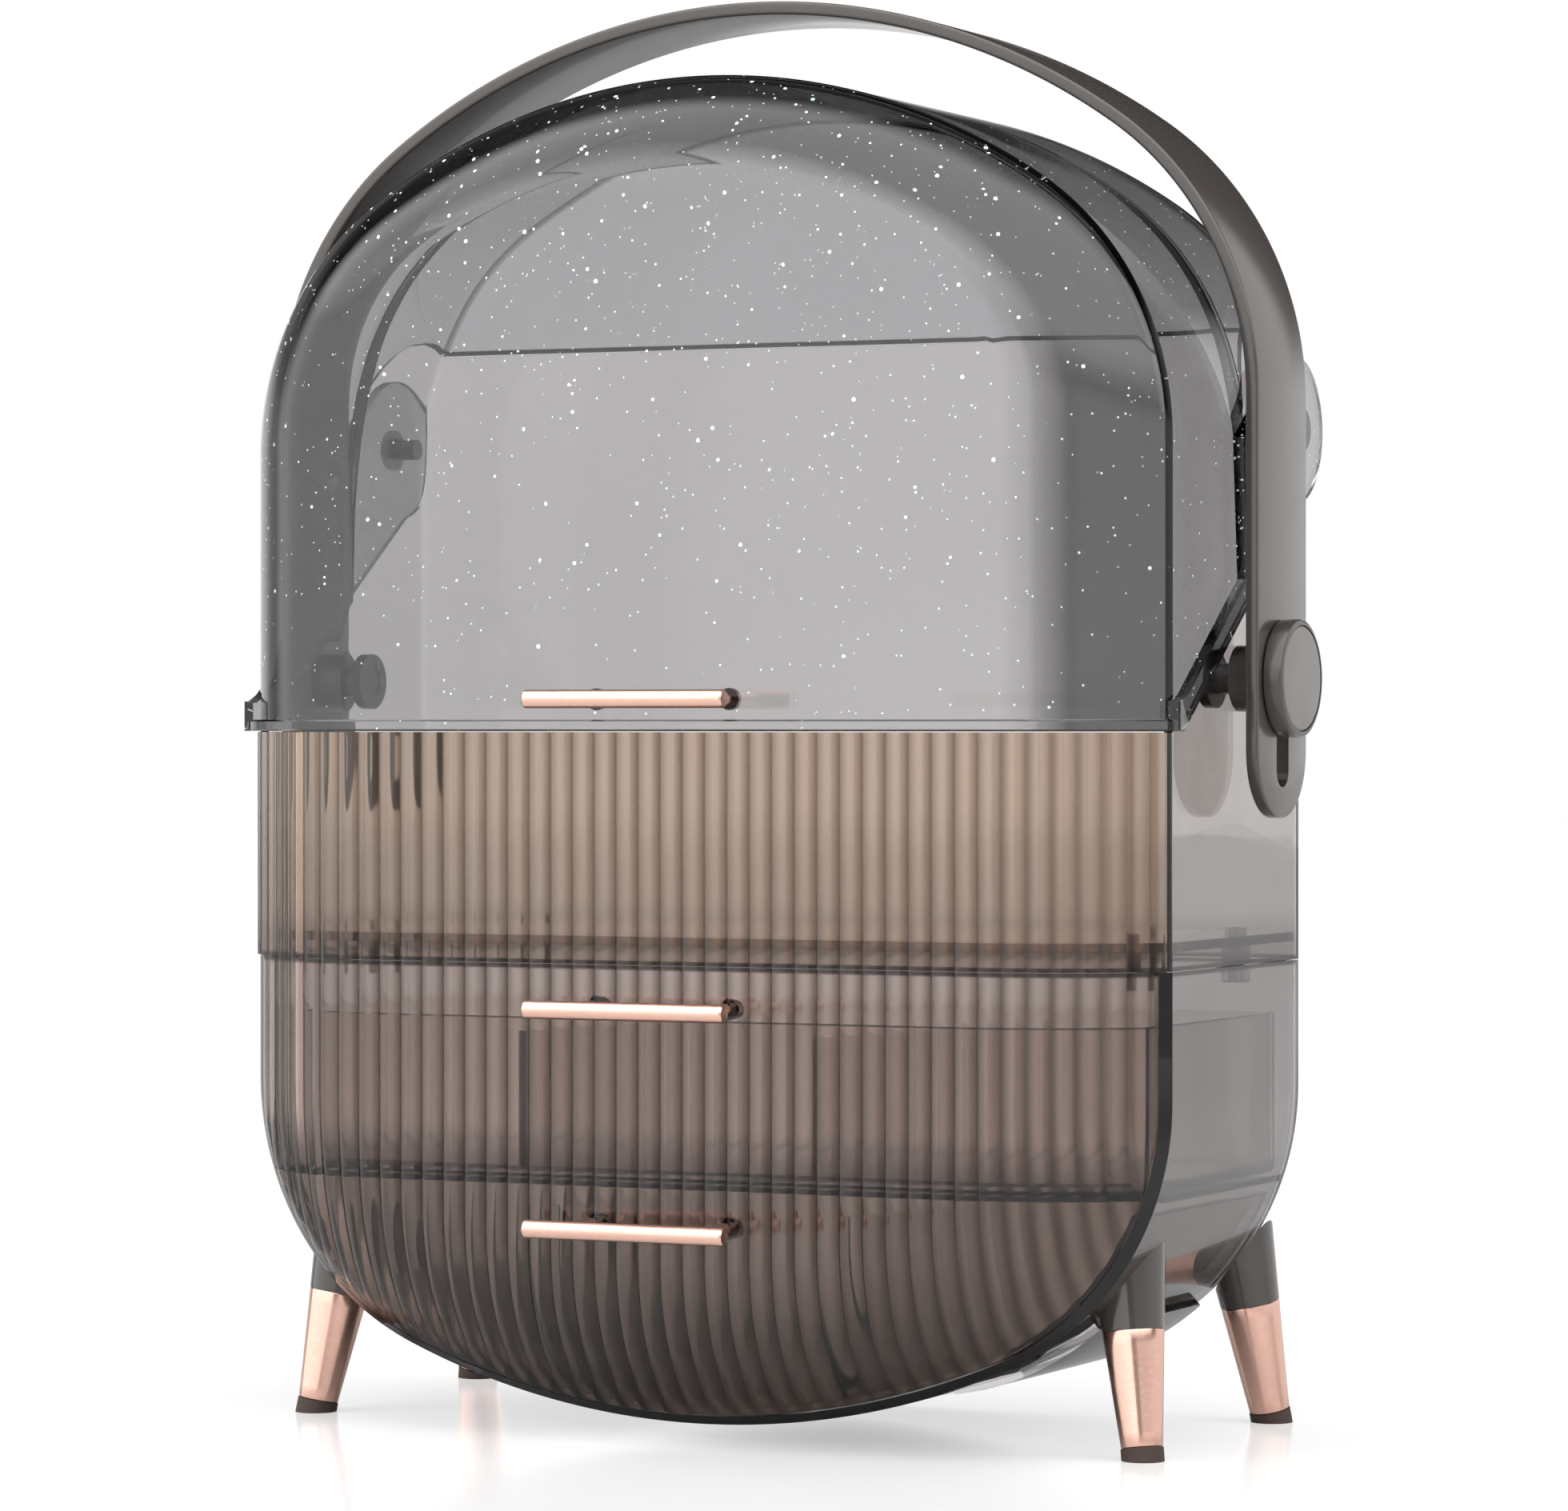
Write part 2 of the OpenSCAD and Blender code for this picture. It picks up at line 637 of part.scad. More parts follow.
// Distance in from the outline, at a point of the front.
function inset_at(x, z) =
    z > corner_c ? half_w - abs(x) :
    abs(x) <= (belly_c - z) * tan(belly_deg) ? belly_r - norm([x, belly_c - z])
                                             : corner_r - norm([abs(x) - corner_x, corner_c - z]);
// Height of the outline at x, set in by a distance.
function outline_z(x, inset) =
    abs(x) <= (belly_r - inset) * sin(belly_deg)
        ? belly_c - sqrt(pow(belly_r - inset, 2) - x * x)
        : corner_c - sqrt(max(0, pow(corner_r - inset, 2) - pow(abs(x) - corner_x, 2)));
// A fluted front panel that follows the pillow, between two heights.
function panel_point(u, share, bottom, top, inner) =
    let (p = plan_point(u, 0), x = p[0],
         low = max(bottom, outline_z(x, lower_inset)),
         z = low + (top - low) * pow(share, 1.25),
         s = inset_at(x, z), a = pillow_deg(s),
         fade = min(1, max(0, (s - lower_inset) / 5)),
         h = inner ? 0 : flute(u) * fade, t = plan_deg(u),
         y = pillow_y(s) + (inner ? wall / cos(a) : 0))
    [x + sign(u) * h * sin(t), y - h * cos(t), z];

panel_steps = 4;
module fluted_panel(bottom, top, rows) {
    drop = max(0, corner_c - top);
    edge_x = corner_x + sqrt(pow(corner_r - lower_inset, 2) - drop * drop) - 0.4;
    edge_u = flat_half + pillow_r * asin(min(1, (edge_x - flat_half) / pillow_r)) * PI / 180;
    n = flutes * panel_steps;
    mid = [for (i = [0 : n]) let (u = -plan_half + 2 * plan_half * i / n)
           if (abs(u) < edge_u - 0.5) u];
    us = concat([-edge_u], mid, [edge_u]);
    m = len(us) * (rows + 1);
    function at(i, j) = i * (rows + 1) + j;
    last = len(us) - 1;
    polyhedron(
        points = concat(
            [for (u = us) for (j = [0 : rows]) panel_point(u, j / rows, bottom, top, false)],
            [for (u = us) for (j = [0 : rows]) panel_point(u, j / rows, bottom, top, true)]),
        faces = concat(
            [for (i = [0 : last - 1]) for (j = [0 : rows - 1])
                for (f = [[at(i, j), at(i, j + 1), at(i + 1, j + 1)],
                          [at(i, j), at(i + 1, j + 1), at(i + 1, j)],
                          [m + at(i, j), m + at(i + 1, j), m + at(i + 1, j + 1)],
                          [m + at(i, j), m + at(i + 1, j + 1), m + at(i, j + 1)]]) f],
            [for (i = [0 : last - 1])
                for (f = [[at(i, 0), at(i + 1, 0), m + at(i + 1, 0)],
                          [at(i, 0), m + at(i + 1, 0), m + at(i, 0)],
                          [at(i + 1, rows), at(i, rows), m + at(i, rows)],
                          [at(i + 1, rows), m + at(i, rows), m + at(i + 1, rows)]]) f],
            [for (j = [0 : rows - 1])
                for (f = [[at(0, j + 1), at(0, j), m + at(0, j)],
                          [at(0, j + 1), m + at(0, j), m + at(0, j + 1)],
                          [at(last, j), at(last, j + 1), m + at(last, j + 1)],
                          [at(last, j), m + at(last, j + 1), m + at(last, j)]]) f]));
}

module drawer_upper_front() color(smoke) in_frame()
    fluted_panel(split_z + slide_gap / 2, seam_z - slide_gap, 5);
module drawer_lower_front() color(smoke) in_frame()
    fluted_panel(0, split_z - slide_gap / 2, 9);

// Plan of the upper drawer's box: behind the front panel as it runs at the floor.
function box_y(x, skin) =
    let (s = inset_at(x, upper_floor_z))
    pillow_y(s) + skin / cos(pillow_deg(s)) + (s < round_w ? seat_gap : 0);
module box_plan(skin, back) {
    side = box_half(skin);
    polygon(concat([for (i = [-24 : 24]) [side * i / 24, box_y(side * i / 24, skin)]],
                   [[side, back], [-side, back]]));
}
function box_half(skin) = half_w - lower_inset - 4.4 - (skin - wall);
module slots(z0, z1) {
    for (s = [-1, 1], w = [-1, 1])
        translate([s * divider_x + w * (divider_t + 1.4) / 2 - 0.6, drawer_back - drawer_wall - 3, z0])
            cube([1.2, 3.2, z1 - z0]);
}
module drawer_upper_box() color(smoke) in_frame() {
    floor_z = upper_floor_z + slide_gap;
    difference() {
        translate([0, 0, floor_z]) linear_extrude(upper_side_h) box_plan(wall, drawer_back);
        translate([0, 0, floor_z + drawer_wall]) linear_extrude(upper_side_h)
            box_plan(wall + drawer_wall, drawer_back - drawer_wall);
    }
    slots(floor_z + 1, floor_z + upper_side_h - 4);
}
lower_box_top = split_z - shelf_t / 2 - 3;
lower_box_inset = lower_inset + 0.8;
lower_box_front = pillow_y(lower_box_inset) + wall / cos(pillow_deg(lower_box_inset)) + 0.4;
module drawer_lower_box() color(smoke) in_frame() {
    difference() {
        along_y(lower_box_front, drawer_back) intersection() {
            lower_outline(lower_box_inset, lower_box_top + big);
            translate([-big, 0]) square([2 * big, lower_box_top]);
        }
        along_y(lower_box_front - 1, drawer_back - drawer_wall)
            lower_outline(lower_box_inset + drawer_wall, big);
    }
    intersection() {
        slots(outline_z(divider_x, lower_box_inset) + 1, lower_box_top - 3);
        along_y(0, drawer_back) lower_outline(lower_box_inset + 1, big);
    }
}

module upper_divider(s) color(clear_smoke) in_frame() {
    z = upper_floor_z + slide_gap + drawer_wall;
    y0 = pillow_y(half_w - divider_x) + wall + 0.3 + drawer_wall;
    translate([s * divider_x - divider_t / 2, y0, z])
        cube([divider_t, drawer_back - drawer_wall - 0.2 - y0, upper_side_h - drawer_wall - 4]);
}
module lower_divider(s) color(clear_smoke) in_frame() intersection() {
    translate([s * divider_x - divider_t / 2, lower_box_front + 2, 0])
        cube([divider_t, drawer_back - drawer_wall - 0.2 - lower_box_front - 2, lower_box_top - 4]);
    along_y(0, side_d) lower_outline(lower_box_inset + drawer_wall + 0.02, big);
}
module upper_divider_left() upper_divider(-1);
module upper_divider_right() upper_divider(1);
module lower_divider_left() lower_divider(-1);
module lower_divider_right() lower_divider(1);

upper_tray();
drawer_case();
lid_shell();
lid_pull();
lid_pull_screws();
carry_handle();
handle_knob_left();
handle_knob_right();
knob_cover_left();
knob_cover_right();
pivot_bush_left();
pivot_bush_right();
pivot_nut_left();
pivot_nut_right();
hinge_pin_left();
hinge_pin_right();
drawer_upper_front();
drawer_upper_box();
drawer_lower_front();
drawer_lower_box();
drawer_upper_pull();
drawer_lower_pull();
upper_pull_screws();
lower_pull_screws();
upper_divider_left();
upper_divider_right();
lower_divider_left();
lower_divider_right();
drawer_shelf();
leg_socket_front_left();
leg_socket_front_right();
leg_socket_rear_left();
leg_socket_rear_right();
leg_sleeve_front_left();
leg_sleeve_front_right();
leg_sleeve_rear_left();
leg_sleeve_rear_right();
leg_pad_front_left();
leg_pad_front_right();
leg_pad_rear_left();
leg_pad_rear_right();
case_screws();
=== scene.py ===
import math
import random

import bmesh
import bpy
from mathutils import Matrix, Vector


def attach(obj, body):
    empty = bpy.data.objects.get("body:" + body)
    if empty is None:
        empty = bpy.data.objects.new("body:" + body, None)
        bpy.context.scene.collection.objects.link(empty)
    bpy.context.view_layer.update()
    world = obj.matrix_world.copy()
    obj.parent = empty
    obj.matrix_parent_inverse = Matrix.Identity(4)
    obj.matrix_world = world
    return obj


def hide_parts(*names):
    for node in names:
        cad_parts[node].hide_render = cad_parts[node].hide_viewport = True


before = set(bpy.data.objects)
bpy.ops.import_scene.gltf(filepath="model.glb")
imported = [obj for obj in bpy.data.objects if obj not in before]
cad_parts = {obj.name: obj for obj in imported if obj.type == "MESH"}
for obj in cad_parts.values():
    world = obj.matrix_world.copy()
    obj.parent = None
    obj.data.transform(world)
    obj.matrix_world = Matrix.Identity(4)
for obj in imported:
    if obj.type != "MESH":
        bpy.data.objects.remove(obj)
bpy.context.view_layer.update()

# Camera, room and light.
# A long lens at the height of the tray, a little to the right of the case, in a white studio.
# What the clear plastic lets through is bright behind; what the glossy faces mirror is dark
# overhead, with white cards behind at the right, above in front, and at the left of the front.
room = bpy.data.scenes[0]
room.view_settings.view_transform = "Standard"
lens = bpy.data.cameras.new("lens")
lens.sensor_width = 36
lens.lens = 132.66
lens.shift_y = -0.0202
lens.clip_end = 50
camera = bpy.data.objects.new("camera", lens)
camera.location = (0.7127, -1.4505, 0.1965)
camera.rotation_euler = (math.radians(90), 0, math.radians(25.83))
room.collection.objects.link(camera)
room.camera = camera

surround = bpy.data.worlds.new("white surround")
room.world = surround
surround.use_nodes = True
wiring = surround.node_tree
ray = wiring.nodes.new("ShaderNodeLightPath")
heading = wiring.nodes.new("ShaderNodeTexCoord")
parted = wiring.nodes.new("ShaderNodeSeparateXYZ")
wiring.links.new(heading.outputs["Generated"], parted.inputs[0])


def reach(source, low, high, dim, bright):
    """A brightness that goes smoothly from dim to bright as a heading goes from low to high."""
    span = wiring.nodes.new("ShaderNodeMapRange")
    span.interpolation_type = "SMOOTHSTEP"
    for place, value in zip((1, 2, 3, 4), (low, high, dim, bright)):
        span.inputs[place].default_value = value
    wiring.links.new(source, span.inputs[0])
    return span.outputs[0]


def feed(tree, value, socket):
    """Gives a socket a value of its own, or links another node's output to it."""
    if isinstance(value, (int, float, tuple)):
        socket.default_value = value
    else:
        tree.links.new(value, socket)


def reckon(tree, operation, *values):
    """The result of a Math node on numbers or other nodes' outputs."""
    node = tree.nodes.new("ShaderNodeMath")
    node.operation = operation
    for place, value in enumerate(values):
        feed(tree, value, node.inputs[place])
    return node.outputs[0]


def product(first, second):
    return reckon(wiring, "MULTIPLY", first, second)


def brighter(first, second):
    return reckon(wiring, "MAXIMUM", first, second)


to_right, to_back, to_top = (parted.outputs[axis] for axis in "XYZ")
behind = reach(to_back, 0.15, 0.6, 0.0, 1.0)
in_front = reach(to_back, 0.3, 0.0, 0.0, 1.0)
seen_through = product(brighter(behind, 0.72), reach(to_top, 0.2, 0.44, 1.0, 0.05))
room_walls = brighter(behind, reach(to_right, 0.42, 0.6, 0.35, 1.0))
room_walls = product(room_walls, reach(to_top, 0.06, 0.2, 1.0, 0.04))
right_card = product(reach(to_right, 0.16, 0.3, 0.0, 0.95), behind)
right_card = product(right_card, reach(to_top, 0.4, 0.6, 1.0, 0.05))
high_card = reach(to_top, 0.12, 0.4, 0.0, 2.6)
left_card = reach(to_right, 0.24, 0.14, 0.0, 1.8)
front_cards = product(brighter(high_card, left_card), in_front)
mirrored = brighter(brighter(room_walls, right_card), front_cards)
level = brighter(product(ray.outputs["Is Glossy Ray"], mirrored),
                 product(ray.outputs["Is Transmission Ray"], seen_through))
level = brighter(level, product(ray.outputs["Is Diffuse Ray"], 0.55))
level = brighter(ray.outputs["Is Camera Ray"], level)
wiring.links.new(level, wiring.nodes["Background"].inputs["Strength"])
wiring.nodes["Background"].inputs["Color"].default_value = (1, 1, 1, 1)


def softbox(name, place, size, watts):
    """A lamp turned to the middle of the part; neither mirror images nor clear plastic show it."""
    light = bpy.data.lights.new(name, "AREA")
    light.shape = "RECTANGLE"
    light.size, light.size_y = size
    light.energy = watts
    made = bpy.data.objects.new(name, light)
    made.location = place
    made.rotation_euler = (Vector((0, 0, 0.2)) - Vector(place)).to_track_quat("-Z", "Y").to_euler()
    made.visible_glossy = False
    made.visible_transmission = False
    room.collection.objects.link(made)


softbox("softbox-left", (-1.3, -1.3, 0.6), (0.9, 2.2), 13)
softbox("softbox-right", (1.7, 0.1, 0.7), (1.0, 1.8), 12)
softbox("softbox-top", (0.1, -0.3, 1.7), (1.4, 1.0), 12)

# Floor.
# A sheet of white gloss acrylic that runs back out of sight, with faint mirror images of
# the feet in it.
def painted(red, green, blue):
    """A shader's colour from red, green and blue between 0 and 255."""
    return tuple((c / 255) ** 2.2 for c in (red, green, blue)) + (1,)


def new_look(name):
    """A new material, its node tree and its shader."""
    look = bpy.data.materials.new(name)
    look.use_nodes = True
    return look, look.node_tree, look.node_tree.nodes["Principled BSDF"]


sheet = bpy.data.meshes.new("floor")
sheet.from_pydata([(-8, -8, 0), (8, -8, 0), (8, 8, 0), (-8, 8, 0)], [], [(0, 1, 2, 3)])
floor = bpy.data.objects.new("floor", sheet)
room.collection.objects.link(floor)
look, tree, gloss = new_look("white acrylic floor")
gloss.inputs["Base Color"].default_value = painted(238, 238, 238)
gloss.inputs["Roughness"].default_value = 0.16
lift = tree.nodes.new("ShaderNodeEmission")
seen = tree.nodes.new("ShaderNodeLightPath")
both = tree.nodes.new("ShaderNodeAddShader")
faint = reckon(tree, "MULTIPLY", seen.outputs["Is Camera Ray"], 0.4)
tree.links.new(faint, lift.inputs["Strength"])
tree.links.new(gloss.outputs[0], both.inputs[0])
tree.links.new(lift.outputs[0], both.inputs[1])
tree.links.new(both.outputs[0], tree.nodes["Material Output"].inputs["Surface"])
sheet.materials.append(look)

# Drawer case.
# A deep moulding in smoked clear plastic: straight sides that run into a rounded belly, a
# flat back, and a thin sloping edge that frames the two drawer fronts.
MID_Y = 31.8275
HALF = 140
DEPTH = 97
WALL = 2.6
BELLY_R, BELLY_C = 235, 239.2
CORNER_R, CORNER_X = 80, 60
BELLY_TURN = math.asin(CORNER_X / (BELLY_R - CORNER_R))
CORNER_C = BELLY_C - (BELLY_R - CORNER_R) * math.cos(BELLY_TURN)
SPLIT_Z, SEAM_Z, RIM_Z = 70.5, 131, 194.2


def at(x, y, z):
    """A point of the scene in metres, from millimetres with Y from the case's front edge."""
    return (x / 1000, (y - MID_Y) / 1000, z / 1000)


def belly_line(inset, top):
    """Outline of the case from its left top, round the belly, to its right top."""
    wide, small = BELLY_R - inset, CORNER_R - inset
    last = math.pi / 2 if top >= CORNER_C else math.acos((CORNER_C - top) / small)
    line = [(wide * math.sin(BELLY_TURN * k / 24), BELLY_C - wide * math.cos(BELLY_TURN * k / 24))
            for k in range(25)]
    for k in range(1, 37):
        turn = BELLY_TURN + (last - BELLY_TURN) * k / 36
        line.append((CORNER_X + small * math.sin(turn), CORNER_C - small * math.cos(turn)))
    if top > CORNER_C:
        line += [(HALF - inset, CORNER_C + (top - CORNER_C) * k / 4) for k in range(1, 5)]
    return [(-x, z) for x, z in reversed(line[1:])] + line


def wall_between(outer, inner, loop=False, shut=(False, False)):
    """The closed wall between an outer and an inner grid of points, row by row."""
    rows, columns = len(outer), len(outer[0])
    points = [p for grid in (outer, inner) for row in grid for p in row]
    steps = columns if loop else columns - 1

    def out(r, c):
        return r * columns + c % columns

    def back(r, c):
        return rows * columns + out(r, c)

    faces = []
    for r in range(rows - 1):
        for c in range(steps):
            for side in (out, back):
                faces.append((side(r, c), side(r, c + 1), side(r + 1, c + 1), side(r + 1, c)))
    for r, closed in zip((0, rows - 1), shut):
        if closed:
            faces += [[side(r, c) for c in range(columns)] for side in (out, back)]
            if not loop:
                faces.append((out(r, 0), out(r, columns - 1), back(r, columns - 1), back(r, 0)))
        else:
            faces += [(out(r, c), out(r, c + 1), back(r, c + 1), back(r, c)) for c in range(steps)]
    if not loop:
        for c in (0, columns - 1):
            faces += [(out(r, c), out(r + 1, c), back(r + 1, c), back(r, c)) for r in range(rows - 1)]
    return points, faces


def solid_mesh(name, parts):
    """One mesh from several lists of points and faces, with its faces turned outwards."""
    points, faces = [], []
    for more_points, more_faces in parts:
        faces += [[len(points) + v for v in face] for face in more_faces]
        points += more_points
    mesh = bpy.data.meshes.new(name)
    mesh.from_pydata(points, [], faces)
    work = bmesh.new()
    work.from_mesh(mesh)
    bmesh.ops.remove_doubles(work, verts=work.verts, dist=1e-7)
    bmesh.ops.recalc_face_normals(work, faces=work.faces)
    work.to_mesh(mesh)
    work.free()
    return mesh


def smooth_below(mesh, crease):
    """Shades a mesh smooth, but for edges that bend by more than an angle in degrees."""
    mesh.shade_smooth()
    mesh.set_sharp_from_angle(angle=math.radians(crease))


def piece(name, parts, look, body, stands_for=(), crease=28):
    """One object from several lists of points and faces."""
    mesh = solid_mesh(name, parts)
    smooth_below(mesh, crease)
    mesh.materials.append(look)
    made = bpy.data.objects.new(name, mesh)
    room.collection.objects.link(made)
    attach(made, body)
    if stands_for:
        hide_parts(*stands_for)
    return made


def effect_group(name, takes, gives):
    """A node group with its input and output nodes; each socket is a name and a kind."""
    group = bpy.data.node_groups.new(name, "ShaderNodeTree")
    for direction, sockets in (("INPUT", takes), ("OUTPUT", gives)):
        for socket, kind in sockets:
            group.interface.new_socket(socket, in_out=direction, socket_type=f"NodeSocket{kind}")
    return group, group.nodes.new("NodeGroupInput"), group.nodes.new("NodeGroupOutput")


def noise(tree, scale, detail):
    """Noise that stays where it is on the piece."""
    where = tree.nodes.new("ShaderNodeTexCoord")
    made = tree.nodes.new("ShaderNodeTexNoise")
    feed(tree, scale, made.inputs["Scale"])
    made.inputs["Detail"].default_value = detail
    tree.links.new(where.outputs["Object"], made.inputs["Vector"])
    return made.outputs["Fac"]


def mixed(tree, share, first, second, kind="MIX"):
    """A Mix node between two colours, each a colour or another node's output."""
    node = tree.nodes.new("ShaderNodeMix")
    node.data_type = "RGBA"
    node.blend_type = kind
    for socket, value in (("Factor", share), ("A", first), ("B", second)):
        feed(tree, value, node.inputs[socket])
    return node


smoke, given, result = effect_group(
    "smoke and moulding", [("Thin", "Color"), ("Thick", "Color")],
    [("Color", "Color"), ("Roughness", "Float"), ("Height", "Float")])
cloud = mixed(smoke, noise(smoke, 9, 2), given.outputs["Thin"], given.outputs["Thick"])
smoke.links.new(cloud.outputs["Result"], result.inputs["Color"])
smoke.links.new(reckon(smoke, "MULTIPLY", noise(smoke, 26, 4), 0.03), result.inputs["Roughness"])
smoke.links.new(noise(smoke, 14, 1), result.inputs["Height"])


def add_relief(tree, body, shader, depth):
    """Fine relief on a shader from the Height that a group gives, to a depth in metres."""
    bump = tree.nodes.new("ShaderNodeBump")
    bump.inputs["Strength"].default_value = 1.0
    bump.inputs["Distance"].default_value = depth
    tree.links.new(body.outputs["Height"], bump.inputs["Height"])
    tree.links.new(bump.outputs["Normal"], shader.inputs["Normal"])


def smoked_plastic(name, thin, thick, rim):
    """Clear plastic with smoke in it, that darkens where it is seen edge on."""
    look, tree, plastic = new_look(name)
    plastic.inputs["Transmission Weight"].default_value = 1.0
    plastic.inputs["IOR"].default_value = 1.47
    body = tree.nodes.new("ShaderNodeGroup")
    body.node_tree = smoke
    body.inputs["Thin"].default_value = painted(*thin)
    body.inputs["Thick"].default_value = painted(*thick)
    tree.links.new(body.outputs["Roughness"], plastic.inputs["Roughness"])
    edge = tree.nodes.new("ShaderNodeLayerWeight")
    edge.inputs["Blend"].default_value = 0.3
    darker = mixed(tree, edge.outputs["Facing"], body.outputs["Color"], painted(*rim))
    darker.name = "edge tint"
    tree.links.new(darker.outputs["Result"], plastic.inputs["Base Color"])
    add_relief(tree, body, plastic, 0.0004)
    return look


def laid_over(look, mask, colour):
    """Lays a colour over the part of a smoked plastic that a mask picks out."""
    tree = look.node_tree
    edge = tree.nodes["edge tint"]
    under = edge.inputs["A"].links[0].from_socket
    layer = mixed(tree, mask, under, painted(*colour), "MULTIPLY")
    tree.links.new(layer.outputs["Result"], edge.inputs["A"])


def along(look, axis, start, end):
    """A mask that rises from 0 to 1 between two places in millimetres along an axis."""
    tree = look.node_tree
    spot = tree.nodes.new("ShaderNodeTexCoord")
    parts = tree.nodes.new("ShaderNodeSeparateXYZ")
    ramp = tree.nodes.new("ShaderNodeMapRange")
    ramp.interpolation_type = "SMOOTHSTEP"
    shift = MID_Y if axis == "Y" else 0
    ramp.inputs["From Min"].default_value = (start - shift) / 1000
    ramp.inputs["From Max"].default_value = (end - shift) / 1000
    tree.links.new(spot.outputs["Object"], parts.inputs[0])
    tree.links.new(parts.outputs[axis], ramp.inputs["Value"])
    return ramp.outputs["Result"]


def belly_rows(steps, top):
    """Rows of points round the belly up to a height, one for each (inset, y) pair."""
    return [[at(x, y, z) for x, z in belly_line(inset, top)] for inset, y in steps]


case_smoke = smoked_plastic("case smoke", (215, 212, 211), (202, 199, 198), (90, 86, 83))
# A thin band of painted shade just below the seam with the tray.
laid_over(case_smoke, along(case_smoke, "Z", SEAM_Z - 1.8, SEAM_Z - 1.0), (110, 106, 104))
CASE_TOP = SEAM_Z - 0.2
outside = [(0, 0), (0, 3), (0, 30), (0, 60), (0, 90), (0, 93), (0.54, 95), (2, 96.46), (4, DEPTH)]
inside = [(WALL, -3.4), (WALL, 3), (WALL, 30), (WALL, 60), (WALL, 86), (WALL, 90),
          (2.8, 92.7), (3.4, 93.8), (4.6, 94.4)]
case_wall = wall_between(belly_rows(outside, CASE_TOP), belly_rows(inside, CASE_TOP), shut=(False, True))


def swept(sections):
    """A closed bar through a row of sections with the same number of points."""
    count = len(sections[0])
    points = [p for section in sections for p in section]
    faces = []
    for r in range(len(sections) - 1):
        for k in range(count):
            here, after = r * count + k, r * count + (k + 1) % count
            faces.append((here, after, after + count, here + count))
    faces += [list(range(count)), [(len(sections) - 1) * count + k for k in range(count)]]
    return points, faces


def turned(profile, place, axis, steps=64):
    """A turned form: (distance along the axis, radius) pairs about an axis through a place."""
    aim = Vector(axis).normalized()
    across = aim.orthogonal().normalized()
    other = aim.cross(across)
    rings = []
    for distance, radius in profile:
        ring = []
        for k in range(steps):
            turn = 2 * math.pi * k / steps
            outwards = across * math.cos(turn) + other * math.sin(turn)
            ring.append(at(*(Vector(place) + aim * distance + outwards * radius)))
        rings.append(ring)
    return swept(rings)


# Two shallow rails under the belly stiffen it; four lugs inside the top take the screws.
RAIL_OUT, RAIL_GAP, RAIL_YS = 2.5, 0.02, (12, 85)
RAIL_START, RAIL_SPAN = 8, 33
SCREW_X, SCREW_YS, BOSS_R = 126, (20, 77), 4


def corner_point(side, out, turn):
    """X and Z on the belly's corner, or outside it, at a turn from straight down."""
    radius = CORNER_R + out
    return side * (CORNER_X + radius * math.sin(turn)), CORNER_C - radius * math.cos(turn)


def at_screws(profile, foot):
    """Turned forms round the four screws that join the tray to the case."""
    return [turned(profile, (side * SCREW_X, y, foot), (0, 0, 1), 32)
            for side in (-1, 1) for y in SCREW_YS]


rails = []
for side in (-1, 1):
    turns = [math.radians(RAIL_START + RAIL_SPAN * k / 16) for k in range(17)]
    under = [corner_point(side, RAIL_OUT, turn) for turn in turns]
    above = [corner_point(side, 0, turn) for turn in turns]
    rails.append(wall_between([[at(x, y, z) for x, z in under] for y in RAIL_YS],
                              [[at(x, y, z - RAIL_GAP) for x, z in above] for y in RAIL_YS]))
lugs = at_screws([(0, BOSS_R - 0.3), (0.3, BOSS_R), (5.9, BOSS_R)], SEAM_Z - 6)
piece("case_shell", [case_wall] + rails + lugs, case_smoke, "case", ["drawer_case"])

# Small fittings of the case that keep their solids.
# The shelf between the drawers is of the case's smoked plastic and the four leg sockets are
# glossy grey; the screws are bright steel, the pads soft dark rubber.
def keep_solid(node, look):
    """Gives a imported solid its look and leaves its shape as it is."""
    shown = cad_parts[node].data
    shown.materials.clear()
    shown.materials.append(look)
    smooth_below(shown, 30)


grain, given, result = effect_group(
    "fine grain", [("Light", "Color"), ("Dark", "Color"), ("Rough", "Float"), ("Scale", "Float")],
    [("Color", "Color"), ("Roughness", "Float"), ("Height", "Float")])
fine = noise(grain, given.outputs["Scale"], 3)
blend = mixed(grain, fine, given.outputs["Light"], given.outputs["Dark"])
grain.links.new(blend.outputs["Result"], result.inputs["Color"])
haze = reckon(grain, "MULTIPLY_ADD", fine, 0.08, given.outputs["Rough"])
grain.links.new(haze, result.inputs["Roughness"])
grain.links.new(fine, result.inputs["Height"])


def grained(name, light, dark, rough, scale, metal=0.0, relief=0.00002, coat=0.0):
    """An opaque finish with a fine grain: rubber, satin plastic or plated metal."""
    look, tree, finish = new_look(name)
    finish.inputs["Metallic"].default_value = metal
    finish.inputs["Coat Weight"].default_value = coat
    finish.inputs["Coat Roughness"].default_value = 0.08
    body = tree.nodes.new("ShaderNodeGroup")
    body.node_tree = grain
    body.inputs["Light"].default_value = painted(*light)
    body.inputs["Dark"].default_value = painted(*dark)
    body.inputs["Rough"].default_value = rough
    body.inputs["Scale"].default_value = scale
    tree.links.new(body.outputs["Color"], finish.inputs["Base Color"])
    tree.links.new(body.outputs["Roughness"], finish.inputs["Roughness"])
    add_relief(tree, body, finish, relief)
    return look


socket_grey = grained("leg socket grey", (80, 74, 71), (70, 64, 61), 0.14, 60, relief=0.00001, coat=0.5)
screw_steel = grained("screw steel", (205, 205, 208), (170, 170, 175), 0.2, 900, metal=1.0)
pad_rubber = grained("pad rubber", (78, 64, 58), (60, 48, 44), 0.6, 1500)
keep_solid("drawer_shelf", case_smoke)
keep_solid("case_screws", screw_steel)
for end in ("front", "rear"):
    for hand in ("left", "right"):
        keep_solid(f"leg_socket_{end}_{hand}", socket_grey)
        keep_solid(f"leg_pad_{end}_{hand}", pad_rubber)

